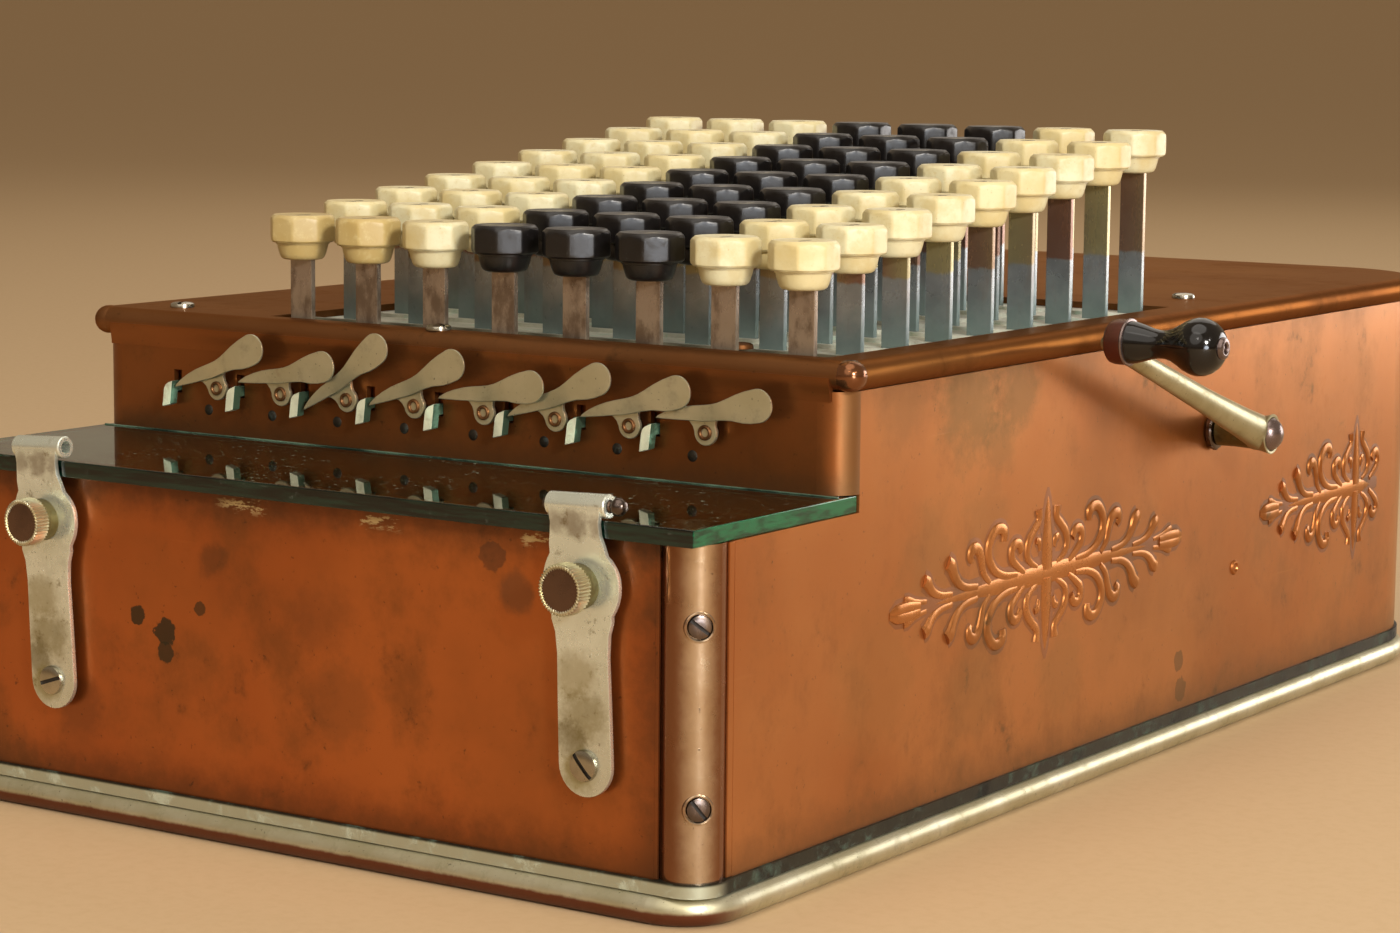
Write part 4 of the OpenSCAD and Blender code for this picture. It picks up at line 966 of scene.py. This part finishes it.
shaft = [(0, 92), (2.8, 92), (2.8, 102.6), (4.6, 102.7), (4.8, 102.95), (4.8, 103.9), (4.5, 104.3),
         (3.7, 104.5),
         (0, 104.5)]
dome = [(0, 3.5), (1.1, 3.4), (2.1, 3.05), (3.0, 2.45), (3.7, 1.6), (4.1, 0.7), (4.15, 0), (0, 0)]
bm = bmesh.new()
join(bm, turned(shaft, 36), at(0, hubY, hubZ) @ toRight, 0)
for index in range(look["notches"]):  # notches round the collar
    turn = Matrix.Rotation(2 * pi * index / look["notches"], 4, "X")
    join(bm, block((102.9, -0.5, 4.4), (104.0, 0.5, 5.0), 0.15, 1), at(0, hubY, hubZ) @ turn, 0)
join(bm, turned(dome, 36), at(look["dome"], hubY, hubZ) @ toRight, 1)
standIn("crank_shaft", bm, ["darkSteel", "domeSteel"], "crank")

grip = [(0, 0), (4.6, 0), (4.75, 0.3), (4.55, 1.6), (4.0, 3.6), (3.4, 5.6), (3.12, 7.4), (3.2, 8.8),
        (3.7, 10.4),
        (4.6, 12.0), (5.6, 13.7), (6.2, 15.2), (6.45, 16.6), (6.3, 18.0), (5.7, 19.6), (4.6, 21.0), (3.6,
                                                                                                     21.7),
        (2.9, 22.0), (0, 22.0)]
cup = [(0, -4.9), (3.4, -4.9), (4.2, -4.75), (4.8, -4.2), (5.05, -3.2), (5.1, -0.6), (4.95, -0.3), (0, -0.3)]
collar = [(0, -0.55), (5.1, -0.55), (5.3, -0.25), (5.2, 0.1), (4.7, 0.2), (0, 0.2)]
ring = [(1.1, 21.9), (1.1, 22.7), (1.35, 22.95), (1.8, 23.0), (2.25, 22.8), (2.5, 22.3), (2.5, 21.7)]
button = [(0, 22.5), (0.7, 22.45), (1.15, 22.2)]
bm = bmesh.new()
for profile, steps, metal in ((grip, 48, 0), (cup, 40, 1), (collar, 40, 2), (ring, 28, 2), (button, 20, 2)):
    join(bm, turned(profile, steps), at(look["handleStart"], gripY, gripZ) @ toRight, metal)
standIn("crank_handle", bm, ["handleBlack", "ferruleCopper", "domeSteel"], "handle")
print("crank made")


# pressed scroll ornament on both sides; strokes are along, up, radius from the middle
scrollLook = {"places": (-47.0, 129.0), "height": 52.0, "relief": 0.62, "stemRelief": 0.2, "spikeRelief": 0.3,
              "sink": 0.25, "fat": 1.2, "halo": 1.75, "haloOut": 0.27, "wall": 102.4, "seam": 154.2, "corner": 32.0,
              "rearShort": 0.88, "rivet": (53.4, 40.2)}
scrollQuarter = {
    "sideCurl": ((4.4, 15.0, 1.3), (4.2, 12.6, 1.1), (6.4, 10.6, 1.1), (9.0, 8.0, 1.2), (9.4, 5.2, 1.1),
                 (7.4, 3.2, 0.9), (4.6, 2.0, 0.7)),
    "bud": ((3.4, 5.6, 0.7), (4.0, 7.6, 1.0), (5.4, 8.0, 0.8)),
    "hook": ((10.6, 1.6, 0.8), (14.2, 3.6, 1.0), (16.7, 5.8, 1.2), (16.2, 8.0, 1.2), (13.5, 8.4, 1.2),
             (12.1, 6.7, 1.1)),
    "bigCurl": ((14.0, 1.5, 0.8), (21.5, 2.5, 1.0), (25.6, 4.8, 1.2), (27.4, 8.2, 1.3), (26.0, 11.4, 1.3),
                (23.0, 12.9, 1.3), (20.3, 11.7, 1.4), (20.4, 9.8, 1.1)),
    "outerCurl": ((26.4, 1.4, 0.8), (29.2, 3.8, 1.0), (30.4, 7.0, 1.2), (32.0, 9.4, 1.3), (34.4, 9.8, 1.4),
                  (35.4, 8.2, 1.2), (34.4, 7.1, 0.8)),
    "leafOne": ((32.0, 1.3, 0.8), (38.6, 2.3, 1.0), (42.0, 4.7, 1.3), (43.8, 7.4, 1.6), (45.3, 8.3, 1.5)),
    "leafTwo": ((43.0, 1.1, 0.7), (49.0, 1.8, 0.9), (52.2, 3.3, 1.2), (54.0, 5.1, 1.5), (55.3, 5.7, 1.4)),
    "leafThree": ((54.0, 1.0, 0.6), (59.0, 1.6, 0.8), (62.0, 2.4, 1.0), (63.5, 2.7, 0.8)),
    "endLobe": ((57.0, 0.6, 1.0), (62.0, 0.9, 1.4), (66.5, 0.7, 1.4), (69.4, 0.3, 0.6)),
}
scrollSpike = ((0, 1.0, 2.4), (0, 7.0, 2.3), (0, 12.5, 1.7), (0, 17.0, 1.0), (0, 19.6, 0.3))
scrollStem = ((0, 0, 2.6), (20, 0, 2.2), (45, 0, 1.6), (62, 0, 0.9))


def stroke(bm, look, points, relief, flip):
    part = rod([(along, up, 0, radius * look["fat"]) for along, up, radius in points], 12, 5)
    bmesh.ops.scale(part, vec=(1, 1, relief), verts=part.verts)
    # painted shade: a darker, almost flat halo round the stroke, standing for the shade in the hollow
    out = look["haloOut"]
    dirtAndShade = rod([(along, up, out, radius * look["halo"]) for along, up, radius in points], 8, 3)
    for v in dirtAndShade.verts:
        v.co.z = out + (v.co.z - out) * 0.03
    join(part, dirtAndShade, None, 1)
    bmesh.ops.scale(part, vec=flip, verts=part.verts)
    join(bm, part)


def scroll(look, middle, side):
    bm, rear = bmesh.new(), middle > 0
    for flip in (1, -1):
        short = flip > 0 and rear  # the rear one is cut short by the corner
        stem = scrollStem[:1] + ((17, 0, 0.8),) if short else scrollStem
        stroke(bm, look, scrollSpike, look["spikeRelief"], (1, flip, 1))
        stroke(bm, look, stem, look["stemRelief"], (flip, 1, 1))
        for flipUp in (1, -1):
            for points in [p for p in scrollQuarter.values() if not short or p[-1][0] < 13]:
                stroke(bm, look, points, look["relief"], (flip, flipUp, 1))
    for v in bm.verts:  # along the wall, then round the back corner
        along = middle + v.co.x * (look["rearShort"] if rear else 1)
        up, out = look["height"] + v.co.y, v.co.z - look["sink"]
        bend, reach = max(along - look["seam"], 0) / look["corner"], look["corner"] + out
        if bend:
            inner = look["wall"] - look["corner"]
            v.co = (side * (inner + reach * cos(bend)), look["seam"] + reach * sin(bend), up)
        else:
            v.co = (side * (look["wall"] + out), along, up)
    bmesh.ops.recalc_face_normals(bm, faces=bm.faces)
    return bm


for side, word in ((1, "right"), (-1, "left")):
    bm = bmesh.new()
    for middle in scrollLook["places"]:
        join(bm, scroll(scrollLook, middle, side))
    rivet = turned([(0, 0.3), (0.6, 0.35), (0.9, 0.15), (1.2, 0.55), (1.7, 0.5), (2.0, 0)],
                   20)  # below the crank
    join(bm, rivet, at(side * scrollLook["wall"], *scrollLook["rivet"]) @ Matrix.Rotation(side * pi / 2, 4,
                                                                                          "Y"), 0)
    addPiece(word + "_side_scrolls", bm, ["scrollCopper", "scrollGrime"], "case")
print("scrolls made")


# bead corners: soldered and rounded, the right one rubbed bright
beadLook = {"x": 102.2, "y": -133.1, "z": 103.7, "ball": 3.3, "drawn": 0.5}
for side, word, look in ((1, "right", "postNickel"), (-1, "left", "deckCopper")):
    bm = bmesh.new()
    bmesh.ops.create_icosphere(bm, subdivisions=3, radius=beadLook["ball"])
    for v in bm.verts:  # drawn out a little along both beads
        v.co.x -= side * beadLook["drawn"] * max(-side * v.co.x, 0)
        v.co.y += beadLook["drawn"] * max(v.co.y, 0)
    bmesh.ops.translate(bm, vec=(side * beadLook["x"], beadLook["y"], beadLook["z"]), verts=bm.verts)
    addPiece(word + "_bead_corner", bm, [look], "case")


# number wheels: the ten figures on each
wheelLook = {"unitsX": 87.2, "aside": 5.5, "pitch": 19.2, "y": -160.0, "z": 45.0, "size": 6.4,
             "radius": 23.42}
look = wheelLook
for name, orders in (("units_wheel", [1]), ("number_wheels", range(2, 10))):
    bm = bmesh.new()
    for order in orders:
        axle = at(look["unitsX"] - (order - 1) * look["pitch"] - look["aside"], look["y"], look["z"])
        for digit in range(10):
            turn = Matrix.Rotation(2 * pi * digit / 10, 4, "X")
            join(bm, numeral(str(digit), look["size"]), axle @ turn @ at(0, 0, look["radius"]), 0)
    addPiece(name + "_figures", bm, ["inkBlack"], name)

# leaf springs: an eye on its rod and a leaf up to the tip, under the lever above it
springLook = {"rodY": 60.0, "rodZ": 42.0, "eye": (2.65, 3.3), "wide": 3.0, "thick": 0.8, "tipY": 10.0,
              "tipZ": 52.7,
              "pitch": 19.2, "steps": 12}


def leafSpring(look, x):
    inner, outer = look["eye"]
    wide, steps, bm = look["wide"], look["steps"], bmesh.new()
    join(bm, turned([(inner, 0), (outer, 0), (outer, wide), (inner, wide), (inner, 0)], 24),
         at(x - wide / 2, look["rodY"], look["rodZ"]) @ toRight)
    foot = look["rodZ"] + outer
    line = [(look["rodY"] + (look["tipY"] - look["rodY"]) * i / steps,
             foot + (look["tipZ"] - foot) * i / steps)
            for i in range(steps + 1)]
    leaf = plate(line + [(y, z - look["thick"]) for y, z in reversed(line)], wide, 0.15, 1)
    join(bm, leaf, Matrix(((0, 0, 1, x - wide / 2), (1, 0, 0, 0), (0, 1, 0, 0), (0, 0, 0, 1))))
    return bm


low, high = boxOf("units_segment")
springBanks = {"units_spring": ("units_segment", [0], ()),
               "higher_springs": ("segment_levers", range(1, len(columns)), ["lever_springs"])}
for name, (lever, places, standsFor) in springBanks.items():
    bm = bmesh.new()
    for place in places:
        join(bm, leafSpring(springLook, (low.x + high.x) / 2 - place * springLook["pitch"]))
    piece = addPiece(name, bm, ["innerSteel"], None, standsFor)
    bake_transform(piece)

# finishes of the nodes that keep their shape
dress("frontCopper", "front_panel")
dress("sideCopper", "left_side_panel", "right_side_panel", "rear_panel")
dress("panelCopper", "lever_panel")
dress("registerDark", "register_plate")
dress("deckCopper", "top_plate")
dress("postNickel", "corner_posts")
dress("baseNickel", "base_moulding")
dress("sillGreen", "sill_frame")
dress("keyPlate", "key_plate")
dress("wheelWhite", "units_wheel", "number_wheels")
dress("innerSteel", "side_frames", "cross_rods", "stem_guide", "units_segment", "segment_levers",
      "clearing_bar")
print("nodes dressed")


# floor, lights and surroundings
stageLook = {"floor": (194, 166, 127), "grain": (181, 151, 111), "floorHalf": 30, "flatTo": 8, "climb": 0.004,
             "world": (216, 192, 162), "worldPower": 0.5}
floorMesh = bmesh.new()
bmesh.ops.create_grid(floorMesh, x_segments=40, y_segments=40, size=stageLook["floorHalf"])
for v in floorMesh.verts:  # climbs far away, past the horizon
    v.co.z = stageLook["climb"] * max(v.co.length - stageLook["flatTo"], 0) ** 2
shape = bpy.data.meshes.new("floor")
floorMesh.to_mesh(shape)
floorMesh.free()
shape.shade_smooth()
floorPaper = Finish("floorPaper", stageLook["floor"], {"Roughness": 0.75})
floorPaper.paint(floorPaper.patch(0.4, 0.7, 300, 6, 0.7) * 0.3, stageLook["grain"])
floorPaper.feed("Base Color", floorPaper.colour)
shape.materials.append(floorPaper.material)
floor = bpy.data.objects.new("floor", shape)
scene.collection.objects.link(floor)
floor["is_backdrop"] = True


def areaLight(name, azimuth, elevation, distance, size, power, colour=(255, 249, 240), target=(40, -60, 70)):
    a, e = radians(azimuth), radians(elevation)
    away = Vector((sin(a) * cos(e), -cos(a) * cos(e), sin(e)))
    data = bpy.data.lights.new(name, "AREA")
    data.shape, data.size, data.energy = "DISK", size, power
    data.color = tint(*colour)[:3]
    lamp = bpy.data.objects.new(name, data)
    scene.collection.objects.link(lamp)
    lamp.visible_camera = False
    lamp.location = Vector(target) * mm + away * distance
    lamp.rotation_mode = "QUATERNION"
    lamp.rotation_quaternion = away.to_track_quat("Z", "Y")


areaLight("keyLight", 58, 22, 1.7, 0.25, 23)
areaLight("lowFill", 56, 3, 2.0, 0.55, 11, (236, 244, 255))
areaLight("frontFill", 10, 40, 2.4, 2.2, 12.5)
areaLight("topSoft", 20, 80, 2.0, 1.8, 13)
areaLight("rearFill", 200, 40, 2.4, 2.0, 9)
areaLight("sideSheen", 155, 5, 1.4, 0.7, 8, (255, 252, 250), (102, 140, 70))
areaLight("windowLeft", 22, 38, 1.8, 0.1, 1.0)
areaLight("windowRight", 74, 30, 1.8, 0.1, 1.0)
world = bpy.data.worlds.new("studio")
world.use_nodes = True
world.node_tree.nodes["Background"].inputs["Color"].default_value = tint(*stageLook["world"])
world.node_tree.nodes["Background"].inputs["Strength"].default_value = stageLook["worldPower"]
scene.world = world
scene.view_settings.view_transform = "Standard"
print("stage set")

low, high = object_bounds()
